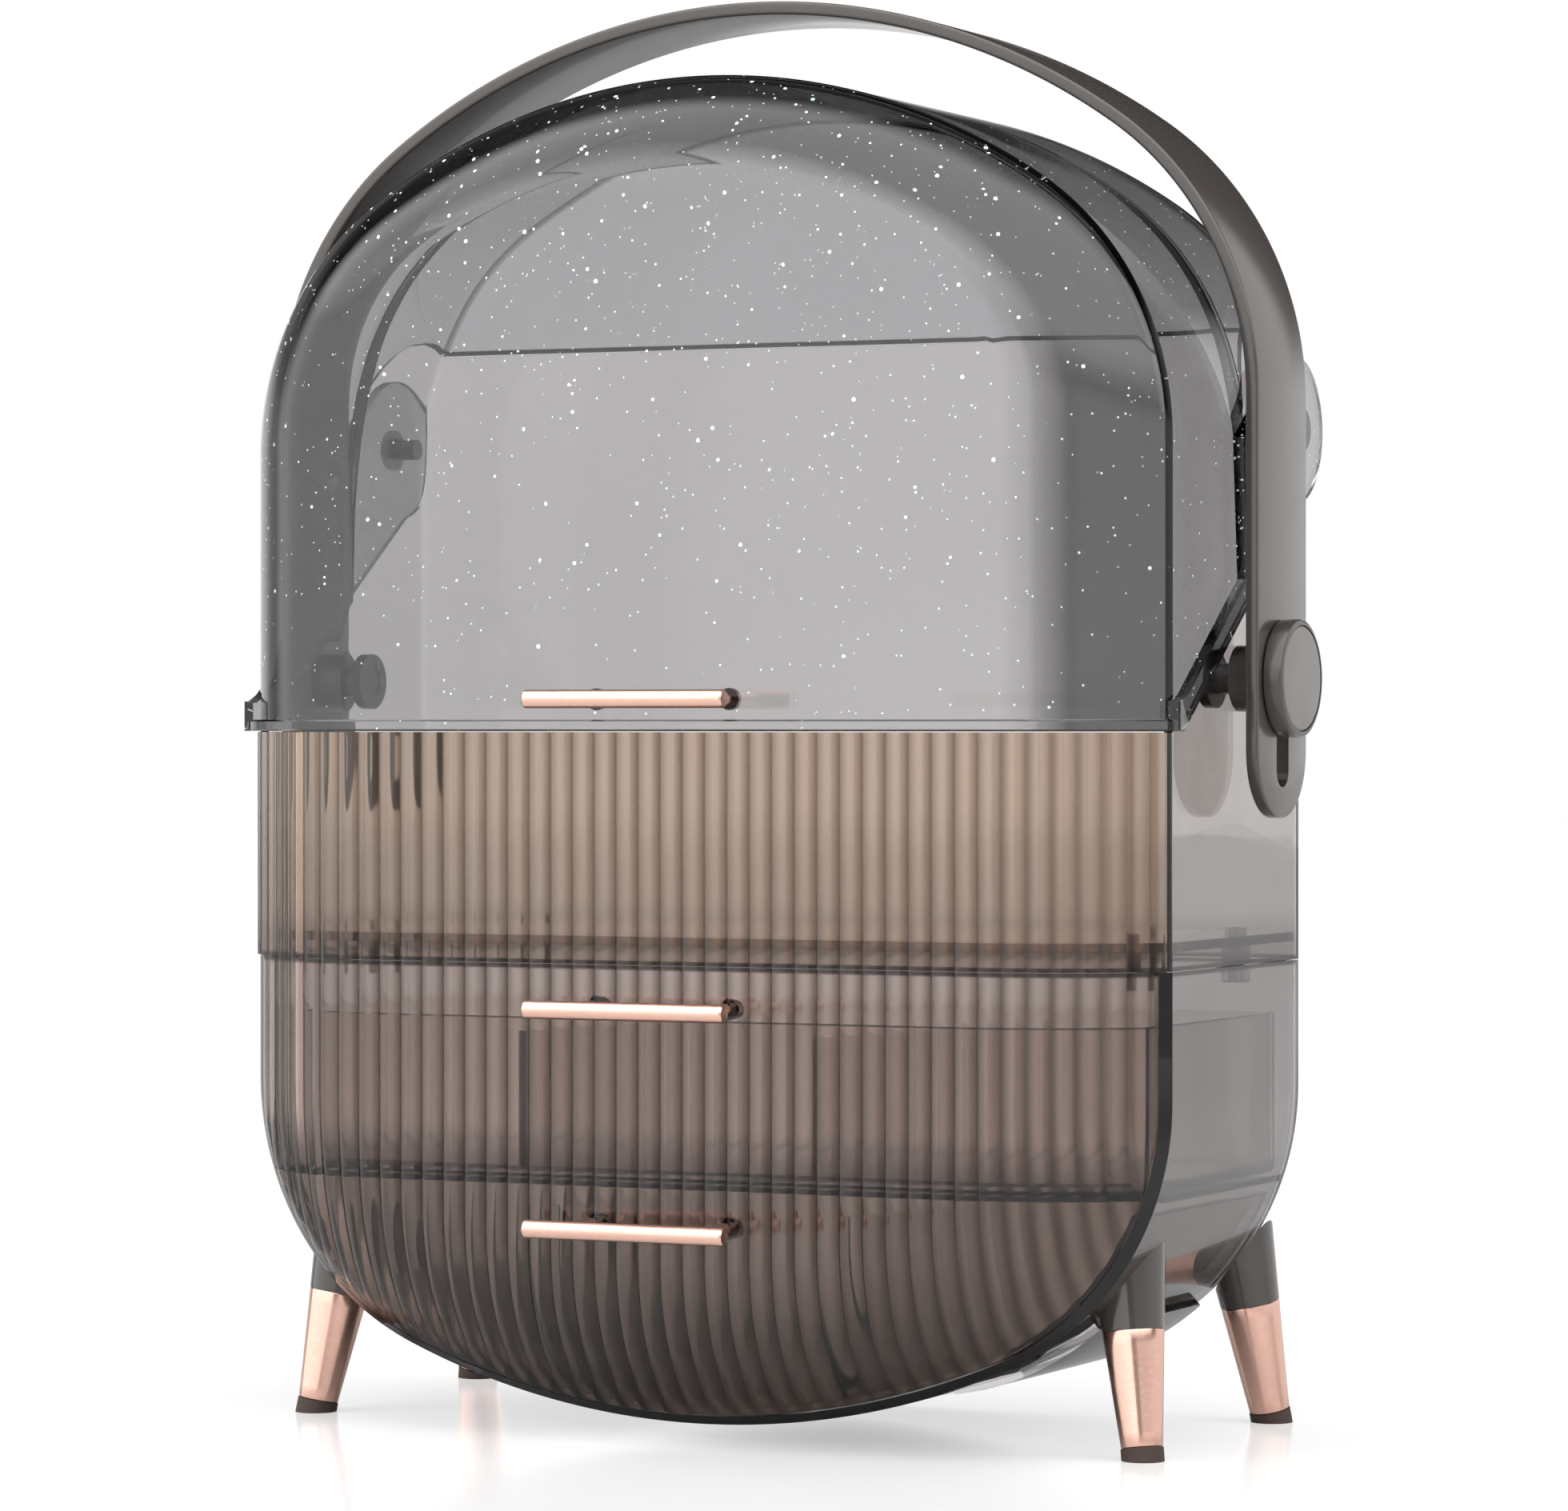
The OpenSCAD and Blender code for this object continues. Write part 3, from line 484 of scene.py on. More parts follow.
# Leg sleeves.
# Four tapered tubes pressed from thin metal and plated rose gold; each slips over a
# plastic spigot and splays outwards.
rose_gold = grained("rose gold plate", (240, 197, 180), (230, 181, 163), 0.14, 700, metal=1.0, coat=0.25)
SPLAY = math.radians(8)
TIP_R, SLEEVE_R, BORE_R, PAD_H, SLEEVE_TOP = 5.6, 8.4, 3, 3, 34.5
TAPER = (SLEEVE_R - TIP_R) / (SLEEVE_TOP - PAD_H)
LEG_X, LEG_FRONT_Y, LEG_REAR_Y = HALF - 12.5, 10, DEPTH + 8.5
low, high = PAD_H + 0.3, SLEEVE_TOP
sleeve = [(low + 8, BORE_R), (low, BORE_R), (low, TIP_R - 0.5), (low + 0.15, TIP_R - 0.12),
          (low + 0.5, TIP_R + TAPER * 0.5)]
sleeve += [(low + (high - low) * k / 8, TIP_R + TAPER * (high - low) * k / 8) for k in range(1, 8)]
sleeve += [(high - 0.5, SLEEVE_R - TAPER * 0.5), (high - 0.12, SLEEVE_R - 0.1), (high, SLEEVE_R - 0.5),
           (high, BORE_R + 0.1), (low + 9, BORE_R + 0.1)]
for end, foot_y, lean in (("front", LEG_FRONT_Y, -SPLAY), ("rear", LEG_REAR_Y, SPLAY)):
    for hand, side in (("left", -1), ("right", 1)):
        tilt = Matrix.Rotation(-side * SPLAY, 3, "Y") @ Matrix.Rotation(lean, 3, "X")
        tube = turned(sleeve, (side * LEG_X, foot_y, 0), tilt @ Vector((0, 0, 1)))
        piece(f"sleeve_{end}_{hand}", [tube], rose_gold, "case", [f"leg_sleeve_{end}_{hand}"])

# Tray.
# The open middle of the body, moulded in the same smoked plastic: a swelling front with 44
# upright flutes, flat sides cut on a slope, and a back wall that carries the lid's hinge.
ROUND_W, BULGE = 46, 24
PILLOW_R = (ROUND_W ** 2 + BULGE ** 2) / (2 * BULGE)
FLAT = HALF - ROUND_W
PLAN_HALF = FLAT + PILLOW_R * math.asin(ROUND_W / PILLOW_R)
FLUTES, FLUTE_H, FLUTE_STEPS = 44, 1.1, 8
PITCH = 2 * PLAN_HALF / FLUTES
FLUTE_US = [-PLAN_HALF + 2 * PLAN_HALF * k / (FLUTES * FLUTE_STEPS) for k in range(FLUTES * FLUTE_STEPS + 1)]
HINGE_Y, HINGE_Z, LOBE_R = 83, 278, 30.8
SLOPE_TURN = math.radians(36)
LID_SIZE, LID_GAP = (HALF, 374.6, 183, 85), 0.3


def plan(u, out):
    """Point and turn of the front's plan curve at a distance u from the middle."""
    turn = max(0, abs(u) - FLAT) / PILLOW_R
    radius = PILLOW_R + out
    x = min(abs(u), FLAT) + radius * math.sin(turn)
    return math.copysign(x, u), PILLOW_R - BULGE - radius * math.cos(turn), turn


def flute(u):
    """How far the flutes stand out at a distance u along the plan curve."""
    return FLUTE_H * abs(math.sin(math.pi * (u + PLAN_HALF) / PITCH))


def knee_of(size):
    """Turn where the arcs of a three-centred arch meet, and height where its straight sides end.

    A size is the arch's half width, its top, and the radii of its top and side arcs.
    """
    side, top, wide, small = size
    lean = math.asin((side - small) / (wide - small))
    return lean, top - wide + (wide - small) * math.cos(lean)


def half_width(z, size):
    """Half the width of a three-centred arch at a height."""
    side, top, wide, small = size
    lean, knee = knee_of(size)
    if z <= knee:
        return side
    if z <= top - wide + wide * math.cos(lean):
        return side - small + math.sqrt(max(0, small ** 2 - (z - knee) ** 2))
    return math.sqrt(max(0, wide ** 2 - (z - top + wide) ** 2))


def cut_height(y, gap=0.0):
    """Height of the sloping cut, and of the round lobe behind it, between tray and lid."""
    if y <= HINGE_Y - LOBE_R - gap:
        return RIM_Z + gap + max(0, y) * math.tan(SLOPE_TURN)
    return HINGE_Z + math.sqrt((LOBE_R + gap) ** 2 - (y - HINGE_Y) ** 2)


def tray_round(skin):
    """Plan of the tray's wall, anticlockwise from the left end of its front."""
    corner = 4
    side_ys = [0.5, 6, 14, 24, 36, 48, 51.5, 52.1, 52.2, 53, 55, 58, 62, 68, 75, 83, 90]
    front = []
    for u in FLUTE_US:
        x, y, _ = plan(u, flute(u) if skin == 0 else -skin)
        if skin:
            x, y = max(-HALF + skin, min(HALF - skin, x)), min(y, 0.2)
        front.append((x, y))
    right = [(HALF - skin, y) for y in side_ys]
    for k in range(7):
        turn = math.pi / 2 * k / 6
        right.append((HALF - corner + (corner - skin) * math.cos(turn),
                      DEPTH - corner + (corner - skin) * math.sin(turn)))
    rear = [(HALF - corner - (2 * HALF - 2 * corner) * k / 20, DEPTH - skin) for k in range(1, 20)]
    return front + right + rear + [(-x, y) for x, y in reversed(right)]


# The place along the plan curve, from X: straight in the middle, an arc at each side; from it a mask for the
# painted shade in the grooves between the flutes.
flutes, _, result = effect_group("flutes", [], [("Groove", "Float")])
where = flutes.nodes.new("ShaderNodeTexCoord")
parts = flutes.nodes.new("ShaderNodeSeparateXYZ")
flutes.links.new(where.outputs["Object"], parts.inputs[0])
across = reckon(flutes, "ABSOLUTE", parts.outputs["X"])
round_part = reckon(flutes, "SUBTRACT", across, FLAT / 1000)
round_part = reckon(flutes, "DIVIDE", round_part, PILLOW_R / 1000)
round_part = reckon(flutes, "MAXIMUM", round_part, 0.0)
arc = reckon(flutes, "MULTIPLY", reckon(flutes, "ARCSINE", round_part), PILLOW_R / 1000)
along_curve = reckon(flutes, "ADD", reckon(flutes, "MINIMUM", across, FLAT / 1000), arc)
phase = reckon(flutes, "MULTIPLY", along_curve, math.pi * 1000 / PITCH)
crest = reckon(flutes, "ABSOLUTE", reckon(flutes, "SINE", phase))
groove = reckon(flutes, "POWER", reckon(flutes, "SUBTRACT", 1.0, crest), 0.8)
flutes.links.new(groove, result.inputs["Groove"])


def fluted(look, crest_colour, groove_shade):
    """Colours the front of a smoked plastic: a pale tint, painted shade between the flutes, a little
    frosted.
    """
    tree = look.node_tree
    front = along(look, "Y", 1.0, -1.5)
    rough = tree.nodes["Principled BSDF"].inputs["Roughness"]
    tree.links.new(reckon(tree, "MULTIPLY_ADD", front, 0.07, rough.links[0].from_socket), rough)
    laid_over(look, front, crest_colour)
    # Painted shade in the grooves between the flutes.
    stripe = tree.nodes.new("ShaderNodeGroup")
    stripe.node_tree = flutes
    laid_over(look, reckon(tree, "MULTIPLY", front, stripe.outputs["Groove"]), groove_shade)


tray_smoke = smoked_plastic("tray smoke", (229, 225, 223), (216, 212, 210), (100, 96, 93))
# The front gets a pale tint with painted shade between the flutes; painted shade darkens the wall towards
# the tray floor and lies in a thin band along the seam.
fluted(tray_smoke, (246, 226, 207), (156, 143, 132))
laid_over(tray_smoke, along(tray_smoke, "Z", SEAM_Z + 16, SEAM_Z + 2), (218, 214, 215))
laid_over(tray_smoke, along(tray_smoke, "Z", SEAM_Z + 1.4, SEAM_Z + 0.8), (110, 104, 100))
LEVELS = [0, 0.06, 0.14, 0.24, 0.36, 0.48, 0.6, 0.7, 0.78, 0.84, 0.89, 0.93, 0.965, 1]
plans = tray_round(0), tray_round(WALL)
grids = ([], [])
for share in LEVELS:
    rows = ([], [])
    for (x, y), (ix, iy) in zip(*plans):
        z = SEAM_Z + (cut_height(y) - SEAM_Z) * share
        lean = half_width(z, LID_SIZE) / HALF if y > 0 else 1
        rows[0].append(at(x * lean, y, z))
        rows[1].append(at(ix * lean, iy, z))
    for grid, row in zip(grids, rows):
        grid.append(row)
tray_wall = wall_between(*grids, loop=True)
FLOOR_LIFT, SKIN_GAP = 5, 0.04
FLOOR_Z = SEAM_Z + FLOOR_LIFT
floor_plan = tray_round(WALL + SKIN_GAP)
floor_plate = swept([[at(x, y, z) for x, y in floor_plan] for z in (FLOOR_Z, FLOOR_Z + WALL)])
bosses = at_screws([(0, BOSS_R), (FLOOR_LIFT - 0.02, BOSS_R)], SEAM_Z)
piece("tray_shell", [tray_wall, floor_plate] + bosses, tray_smoke, "case", ["upper_tray"])

# Lid.
# A deep dome in smoked clear plastic full of glitter, with a flat front panel inside a wide
# rounded band. It is cut on the same slope as the tray and turns about two side ears.
PANEL_TURN, CREASE_TURN, BAND_STEPS = math.radians(10), math.radians(58), 12
PANEL_INSET = (40, 26, 26, 35)
LIP_OUT, LIP_H, LIP_GAP, LIP_STEPS, EAR_R = 3.5, 3.2, 0.03, 120, 20.5
LID_FOOT = RIM_Z + LID_GAP + LIP_H
LID_YS = (0.4, 6, 14, 24, 36, 48, 51.8, 51.9, 52.6, 54, 57, 62, 68, 75, 83, 90)
ARCH_POINTS, BACK_ROUND = 200, 2


def lid_size(share, skin):
    """Size of the lid's outline, a share of the way in from its edge to its flat panel."""
    return tuple(size - inset * share - skin for size, inset in zip(LID_SIZE, PANEL_INSET))


def arch_point(size, turn):
    """Point of a three-centred arch where it faces a turn away from straight up."""
    side, top, wide, small = size
    lean, knee = knee_of(size)
    if turn < lean:
        return wide * math.sin(turn), top - wide + wide * math.cos(turn)
    return side - small + small * math.sin(turn), knee + small * math.cos(turn)


def arch_line(size, foot):
    """Evenly spaced points of the arch from its left foot over the top to its right foot."""
    side, _, _, small = size
    lean, knee = knee_of(size)
    last = math.pi / 2 if foot <= knee else math.acos((foot - knee) / small)
    turns = [lean * k / 90 for k in range(90)] + [lean + (last - lean) * k / 120 for k in range(121)]
    path = [arch_point(size, turn) for turn in turns]
    if foot < knee:
        path.append((side, foot))
    run = [0]
    for a, b in zip(path, path[1:]):
        run.append(run[-1] + math.dist(a, b))
    half, spot = [], 0
    for k in range(ARCH_POINTS // 2 + 1):
        goal = run[-1] * k / (ARCH_POINTS // 2)
        while spot < len(run) - 2 and run[spot + 1] < goal:
            spot += 1
        part = (goal - run[spot]) / (run[spot + 1] - run[spot])
        a, b = path[spot], path[spot + 1]
        half.append((a[0] + (b[0] - a[0]) * part, a[1] + (b[1] - a[1]) * part))
    return [(-x, z) for x, z in reversed(half[1:])] + half


def arch_row(size, y, foot):
    """The points of the arch down to a foot, at a Y."""
    return [at(x, y, z) for x, z in arch_line(size, foot)]


def pillow_rise(turn):
    """How far the lid's band has risen at a turn, from 0 at its crease to 1 at the flat panel."""
    return (math.cos(turn) - math.cos(CREASE_TURN)) / (math.cos(PANEL_TURN) - math.cos(CREASE_TURN))


def lid_grid(skin):
    """Rows of points of the lid's outer or inner skin, from the flat panel to the back."""
    rows = []
    for k in range(BAND_STEPS + 1):
        turn = PANEL_TURN + (CREASE_TURN - PANEL_TURN) * k / BAND_STEPS
        span = math.sin(CREASE_TURN) - math.sin(PANEL_TURN)
        share = (math.sin(CREASE_TURN) - math.sin(turn)) / span
        rows.append(arch_row(lid_size(share, skin), skin * share - BULGE * pillow_rise(turn), LID_FOOT))
    for y in LID_YS:
        rows.append(arch_row(lid_size(0, skin), y, cut_height(y, LID_GAP)))
    for step in range(4):
        turn = math.radians(30 * step)
        y = DEPTH - skin - BACK_ROUND + BACK_ROUND * math.sin(turn)
        inset = skin + BACK_ROUND - BACK_ROUND * math.cos(turn)
        rows.append(arch_row(lid_size(0, inset), y, cut_height(y, LID_GAP)))
    return rows


lip = []
low, high = RIM_Z + LID_GAP, LID_FOOT - LIP_GAP
lip_edge = [(-WALL, low), (LIP_OUT - 0.5, low), (LIP_OUT, low + 0.5), (LIP_OUT, high - 0.5),
            (LIP_OUT - 0.5, high), (-WALL, high)]
for k in range(LIP_STEPS + 1):
    section = []
    for out, z in lip_edge:
        x, y, _ = plan(-PLAN_HALF + 2 * PLAN_HALF * k / LIP_STEPS, out)
        section.append(at(x, y, z))
    lip.append(section)

# A side flange's outline goes up along the sloping cut, which runs CUT_D below the hinge,
# round the ear, and back down FLANGE_W above the cut.
CUT_D, FLANGE_W, FLANGE_FOOT, FLANGE_TOP = 18.7, 6.2, 116, 9
EAR_START, EAR_END = 66, 270


def on_slope(down, below):
    """Y and Z from the hinge: along the slope down to the front, and square to it."""
    cosine, sine = math.cos(SLOPE_TURN), math.sin(SLOPE_TURN)
    return HINGE_Y - cosine * down + sine * below, HINGE_Z - sine * down - cosine * below


ear = [(-LIP_OUT, low), (0, low)]
ear += [on_slope(FLANGE_FOOT - (FLANGE_FOOT - FLANGE_TOP) * k / 12, CUT_D) for k in range(13)]
for k in range(41):
    turn = math.radians(EAR_START + (EAR_END - EAR_START) * k / 40)
    ear.append(on_slope(EAR_R * math.cos(turn), EAR_R * math.sin(turn)))
ear += [on_slope(34.8, -EAR_R), on_slope(54.8, CUT_D - FLANGE_W), on_slope(108, CUT_D - FLANGE_W),
        (-1.5, low + 8), (-LIP_OUT, low + 8)]
centre_y, centre_z = (sum(p[i] for p in ear) / len(ear) for i in (0, 1))
ears = []
for side in (-1, 1):
    sections = []
    for x, shrink in ((HALF + 0.3, 0), (HALF + 3.1, 0), (HALF + 3.5, 1 / 150)):
        section = [(y + (centre_y - y) * shrink, z + (centre_z - z) * shrink) for y, z in ear]
        sections.append([at(side * x, y, z) for y, z in section])
    ears.append(swept(sections))

# Specks of glitter all over the lid, besides the flakes in its front, painted as glints that glow with light
# of their own.
lid_smoke = smoked_plastic("lid smoke with glitter", (208, 208, 209), (194, 194, 196), (86, 85, 84))
lid_tree = lid_smoke.node_tree
where = lid_tree.nodes.new("ShaderNodeTexCoord")
cells = lid_tree.nodes.new("ShaderNodeTexVoronoi")
cells.inputs["Scale"].default_value = 420
lid_tree.links.new(where.outputs["Object"], cells.inputs["Vector"])
chance = lid_tree.nodes.new("ShaderNodeSeparateColor")
lid_tree.links.new(cells.outputs["Color"], chance.inputs[0])
small = reckon(lid_tree, "LESS_THAN", cells.outputs["Distance"], 0.13)
rare = reckon(lid_tree, "GREATER_THAN", chance.outputs[0], 0.86)
painted_glint = mixed(lid_tree, reckon(lid_tree, "MULTIPLY", small, rare), (0, 0, 0, 1), (0.75, 0.78, 0.76, 1))
plastic = lid_tree.nodes["Principled BSDF"]
lid_tree.links.new(painted_glint.outputs["Result"], plastic.inputs["Emission Color"])
plastic.inputs["Emission Strength"].default_value = 1.0
facing = lid_tree.nodes.new("ShaderNodeSeparateXYZ")
lid_tree.links.new(where.outputs["Normal"], facing.inputs[0])
frontal = reckon(lid_tree, "ABSOLUTE", facing.outputs["Y"])


def facing_share(start, end):
    """A mask from 0 to 1 between two amounts by which the lid faces the front or the back."""
    span = lid_tree.nodes.new("ShaderNodeMapRange")
    span.inputs["From Min"].default_value = start
    span.inputs["From Max"].default_value = end
    lid_tree.links.new(frontal, span.inputs["Value"])
    return span.outputs["Result"]


# Painted shade: the rounded band is made darker than the flat panel, and the roof and sides behind it a very
# little darker.
band = reckon(lid_tree, "MULTIPLY", facing_share(0.995, 0.9), facing_share(0.3, 0.45))
laid_over(lid_smoke, band, (142, 142, 142))
laid_over(lid_smoke, facing_share(0.45, 0.3), (249, 249, 249))
dome = wall_between(lid_grid(0), lid_grid(WALL), shut=(True, True))
piece("lid_dome", [dome, swept(lip)] + ears, lid_smoke, "lid", ["lid_shell"], crease=38)

# Glitter.
# Thin six-sided flakes of silver foil, most of them white, that lie in the skin of the lid's
# front, closer together towards its top.
foil, foil_tree, shine = new_look("silver glitter")
shine.inputs["Roughness"].default_value = 0.35
tones = foil_tree.nodes.new("ShaderNodeValToRGB")
FOIL_TONES = ((0.3, (190, 225, 214)), (0.45, (255, 255, 255)),
              (0.62, (250, 250, 250)), (0.75, (240, 210, 206)))
for place, colour in FOIL_TONES:
    stop = tones.color_ramp.elements.new(place)
    stop.color = painted(*colour)
foil_tree.links.new(noise(foil_tree, 160, 2), tones.inputs["Fac"])
foil_tree.links.new(tones.outputs["Color"], shine.inputs["Base Color"])
# The foil also glows in its own colours: painted sparkle, light from no lamp.
foil_tree.links.new(tones.outputs["Color"], shine.inputs["Emission Color"])
shine.inputs["Emission Strength"].default_value = 0.45


def band_share(x, z):
    """How far a point of the lid's front lies from its edge to its flat panel, 0 to 1."""
    low, high = 0.0, 1.0
    for _ in range(18):
        middle = (low + high) / 2
        if abs(x) < half_width(z, lid_size(middle, 0)) and z < lid_size(middle, 0)[1]:
            low = middle
        else:
            high = middle
    return low


def lid_face(x, z):
    """Y of the lid's front at an X and Z."""
    sine = math.sin(CREASE_TURN) - band_share(x, z) * (math.sin(CREASE_TURN) - math.sin(PANEL_TURN))
    return -BULGE * pillow_rise(math.asin(sine))


FLAKES, FLAKE_T = 620, 0.08
GLITTER_X, GLITTER_LOW, GLITTER_HIGH = 138, 199, 373
STEP = 0.6
random.seed(7)
flakes = []
while len(flakes) < FLAKES:
    x, z = random.uniform(-GLITTER_X, GLITTER_X), random.uniform(GLITTER_LOW, GLITTER_HIGH)
    crowd = 0.14 + 0.86 * ((z - GLITTER_LOW) / (GLITTER_HIGH - GLITTER_LOW)) ** 1.5
    if random.random() > crowd or abs(x) > half_width(z, lid_size(0, 0)) - 1.5:
        continue
    y = lid_face(x, z)
    normal = Vector((lid_face(x + STEP, z) - lid_face(x - STEP, z), -2 * STEP,
                     lid_face(x, z + STEP) - lid_face(x, z - STEP)))
    normal = (normal.normalized() + Vector([random.uniform(-0.25, 0.25) for _ in range(3)])).normalized()
    size = 0.17 + 0.5 * random.random() ** 3.2
    flakes.append(turned([(-FLAKE_T / 2, size), (FLAKE_T / 2, size)], (x, y - 0.06, z), normal, 6))
piece("lid_glitter", flakes, foil, "lid")

# Pulls.
# A round bar on two short posts, turned from metal and plated rose gold; one on the lid and
# one on each drawer front, all alike.
PULL_L, PULL_R, PULL_OUT, POST_R = 60.5, 2.5, 21, 1.8
POST_X = 3 * PITCH
POST_ROOT = -BULGE - FLUTE_H * math.sin(math.pi * POST_R / PITCH)


def pull(name, z, root, body, node):
    """A bar at a height in front of a body, on two posts that end at the Y of their root."""
    half = PULL_L / 2
    right_end = [(half - 0.6, PULL_R), (half - 0.12, 2.1), (half, 1.7)]
    bar = [(-x, radius) for x, radius in reversed(right_end)] + right_end
    bar_y = -BULGE - PULL_OUT
    posts = [turned([(1.5, POST_R), (root - bar_y - 0.6, POST_R), (root - bar_y, POST_R)],
                    (side * POST_X, bar_y, z), (0, 1, 0), 40) for side in (-1, 1)]
    piece(name, [turned(bar, (0, bar_y, z), (1, 0, 0))] + posts, rose_gold, body, [node])


pull("pull_lid", RIM_Z + 9, -BULGE - 0.05, "lid", "lid_pull")
pull("pull_upper", SEAM_Z - 11.6, POST_ROOT, "upper_drawer", "drawer_upper_pull")
pull("pull_lower", SPLIT_Z - 10.3, POST_ROOT, "lower_drawer", "drawer_lower_pull")
for node in ("lid_pull_screws", "upper_pull_screws", "lower_pull_screws"):
    keep_solid(node, screw_steel)

# Drawers.
# Each has a fluted front moulded as one pillow with the tray's, and behind it a clear box
# with two plates that part it in three; the lower box follows the belly.
front_smoke = smoked_plastic("upper drawer smoke", (245, 237, 233), (234, 226, 222), (92, 84, 80))
# The front gets a pale tint with painted shade between the flutes; painted shade darkens it towards the
# split below, and lies in thin bands along the split and the seam.
fluted(front_smoke, (244, 232, 226), (128, 116, 110))
laid_over(front_smoke, along(front_smoke, "Z", SPLIT_Z + 18, SPLIT_Z + 1), (164, 160, 161))
laid_over(front_smoke, along(front_smoke, "Z", SPLIT_Z + 1.8, SPLIT_Z + 1.0), (110, 104, 100))
laid_over(front_smoke, along(front_smoke, "Z", SEAM_Z - 1.8, SEAM_Z - 1.0), (110, 104, 100))
belly_smoke = smoked_plastic("lower drawer smoke", (195, 185, 179), (180, 170, 164), (88, 80, 76))
# The front gets a pale tint with painted shade between the flutes, and painted shade darkens it towards the
# bottom of the belly.
fluted(belly_smoke, (242, 228, 220), (126, 112, 106))
laid_over(belly_smoke, along(belly_smoke, "Z", 58, 8), (166, 158, 154))
box_smoke = smoked_plastic("drawer box smoke", (249, 244, 241), (242, 236, 232), (150, 142, 137))
INSET = WALL + 0.4


def edge_distance(x, z):
    """How far a point of the front lies inside the case's outline."""
    if z > CORNER_C:
        return HALF - abs(x)
    if abs(x) <= (BELLY_C - z) * math.tan(BELLY_TURN):
        return BELLY_R - math.hypot(x, BELLY_C - z)
    return CORNER_R - math.hypot(abs(x) - CORNER_X, CORNER_C - z)


def belly_height(x, inset):
    """Height at an X of the belly's outline, moved in by an inset."""
    if abs(x) <= (BELLY_R - inset) * math.sin(BELLY_TURN):
        return BELLY_C - math.sqrt((BELLY_R - inset) ** 2 - x * x)
    return CORNER_C - math.sqrt(max(0, (CORNER_R - inset) ** 2 - (abs(x) - CORNER_X) ** 2))


def pillow_turn(s):
    """Turn of the rounded front away from straight ahead, at a distance from its outline."""
    return math.asin(max(0, ROUND_W - s) / PILLOW_R)


def pillow(s):
    """Y of the rounded front at a distance from its outline."""
    return PILLOW_R - BULGE - PILLOW_R * math.cos(pillow_turn(s))


FRONT_GAP, SPLIT_GAP, FADE = 0.12, 0.08, 6


def fluted_front(bottom, top, rows):
    """The front of a drawer between two heights, its flutes fading out at its outline."""
    drop = max(0, CORNER_C - top)
    edge_x = CORNER_X + math.sqrt((CORNER_R - INSET) ** 2 - drop ** 2) - 0.4
    edge_u = FLAT + PILLOW_R * math.asin(min(1, (edge_x - FLAT) / PILLOW_R))
    outer, inner = [], []
    for u in [-edge_u] + [u for u in FLUTE_US if abs(u) < edge_u - 0.3] + [edge_u]:
        x, _, turn = plan(u, 0)
        low = max(bottom, belly_height(x, INSET))
        columns = ([], [])
        for k in range(rows + 1):
            z = low + (top - low) * (k / rows) ** 1.25
            s = edge_distance(x, z)
            face = pillow(s)
            ridge = flute(u) * min(1, max(0, (s - INSET) / FADE))
            outwards = math.copysign(ridge * math.sin(turn), u)
            columns[0].append(at(x + outwards, face - ridge * math.cos(turn), z))
            columns[1].append(at(x, face + WALL / math.cos(pillow_turn(s)), z))
        outer.append(columns[0])
        inner.append(columns[1])
    return wall_between(outer, inner)


upper_front = fluted_front(SPLIT_Z + SPLIT_GAP, SEAM_Z - FRONT_GAP, 10)
lower_front = fluted_front(0, SPLIT_Z - SPLIT_GAP, 26)
piece("front_upper", [upper_front], front_smoke, "upper_drawer", ["drawer_upper_front"])
piece("front_lower", [lower_front], belly_smoke, "lower_drawer", ["drawer_lower_front"])

BOX_HALF, BOX_BACK, BOX_FLOOR = HALF - INSET - 4.4, DEPTH - WALL - 2, SPLIT_Z + 1.7


def box_plan(skin):
    """Plan of the upper box from the left end of its front: curved in front, square behind."""
    side = BOX_HALF - skin
    front = []
    for k in range(61):
        x = -side + 2 * side * k / 60
        s = edge_distance(x, SPLIT_Z + 1.3)
        front.append((x, pillow(s) + (WALL + 0.25 + skin) / math.cos(pillow_turn(s))))
    back = BOX_BACK - skin
    right = [(side, back - 3), (side - 1, back - 0.6), (side - 3, back)]
    return front + right + [(-x, y) for x, y in reversed(right)]


def box_rows(steps):
    """Rows of points round the upper box, one for each (inset, height above its floor)."""
    return [[at(x, y, BOX_FLOOR + z) for x, y in box_plan(inset)] for inset, z in steps]


upper_box = wall_between(box_rows([(1, 0), (0, 1), (0, 43.5), (0.4, 44)]),
                         box_rows([(3, 2), (2, 3), (2, 43.5), (1.6, 44)]), loop=True, shut=(True, False))
piece("box_upper", [upper_box], box_smoke, "upper_drawer", ["drawer_upper_box"])
LOWER_TOP, LOWER_INSET = SPLIT_Z - 3.9, INSET + 0.8
outside = [(0, -0.5), (0, 30), (0, 60), (0, 90), (0.7, 91.7), (2.4, BOX_BACK)]
inside = [(2, -0.5), (2, 30), (2, 60), (2, 88), (2.3, 89.6), (4, BOX_BACK - 2)]
skins = [belly_rows([(LOWER_INSET + inset, y) for inset, y in steps], LOWER_TOP)
         for steps in (outside, inside)]
lower_box = wall_between(*skins, shut=(False, True))
piece("box_lower", [lower_box], box_smoke, "lower_drawer", ["drawer_lower_box"])
divider_clear = smoked_plastic("divider clear", (232, 228, 225), (224, 219, 215), (160, 154, 150))
for level in ("upper", "lower"):
    for hand in ("left", "right"):
        keep_solid(f"{level}_divider_{hand}", divider_clear)

# Carry handle.
# A flat band of glossy grey plastic bent to an arch, its edges eased, with round ends and a
# slot in each so that it slides on the knobs as well as turning.
HANDLE_SIZE = (152.5, 398.2, 195, 95)
BAND_W, BAND_T, PIVOT_Y, PIVOT_Z, HANDLE_FOOT = 37, 3.7, 48.5, 208.8, 171
handle_grey = grained("handle grey", (80, 74, 70), (72, 66, 63), 0.2, 60, relief=0.00001, coat=0.6)


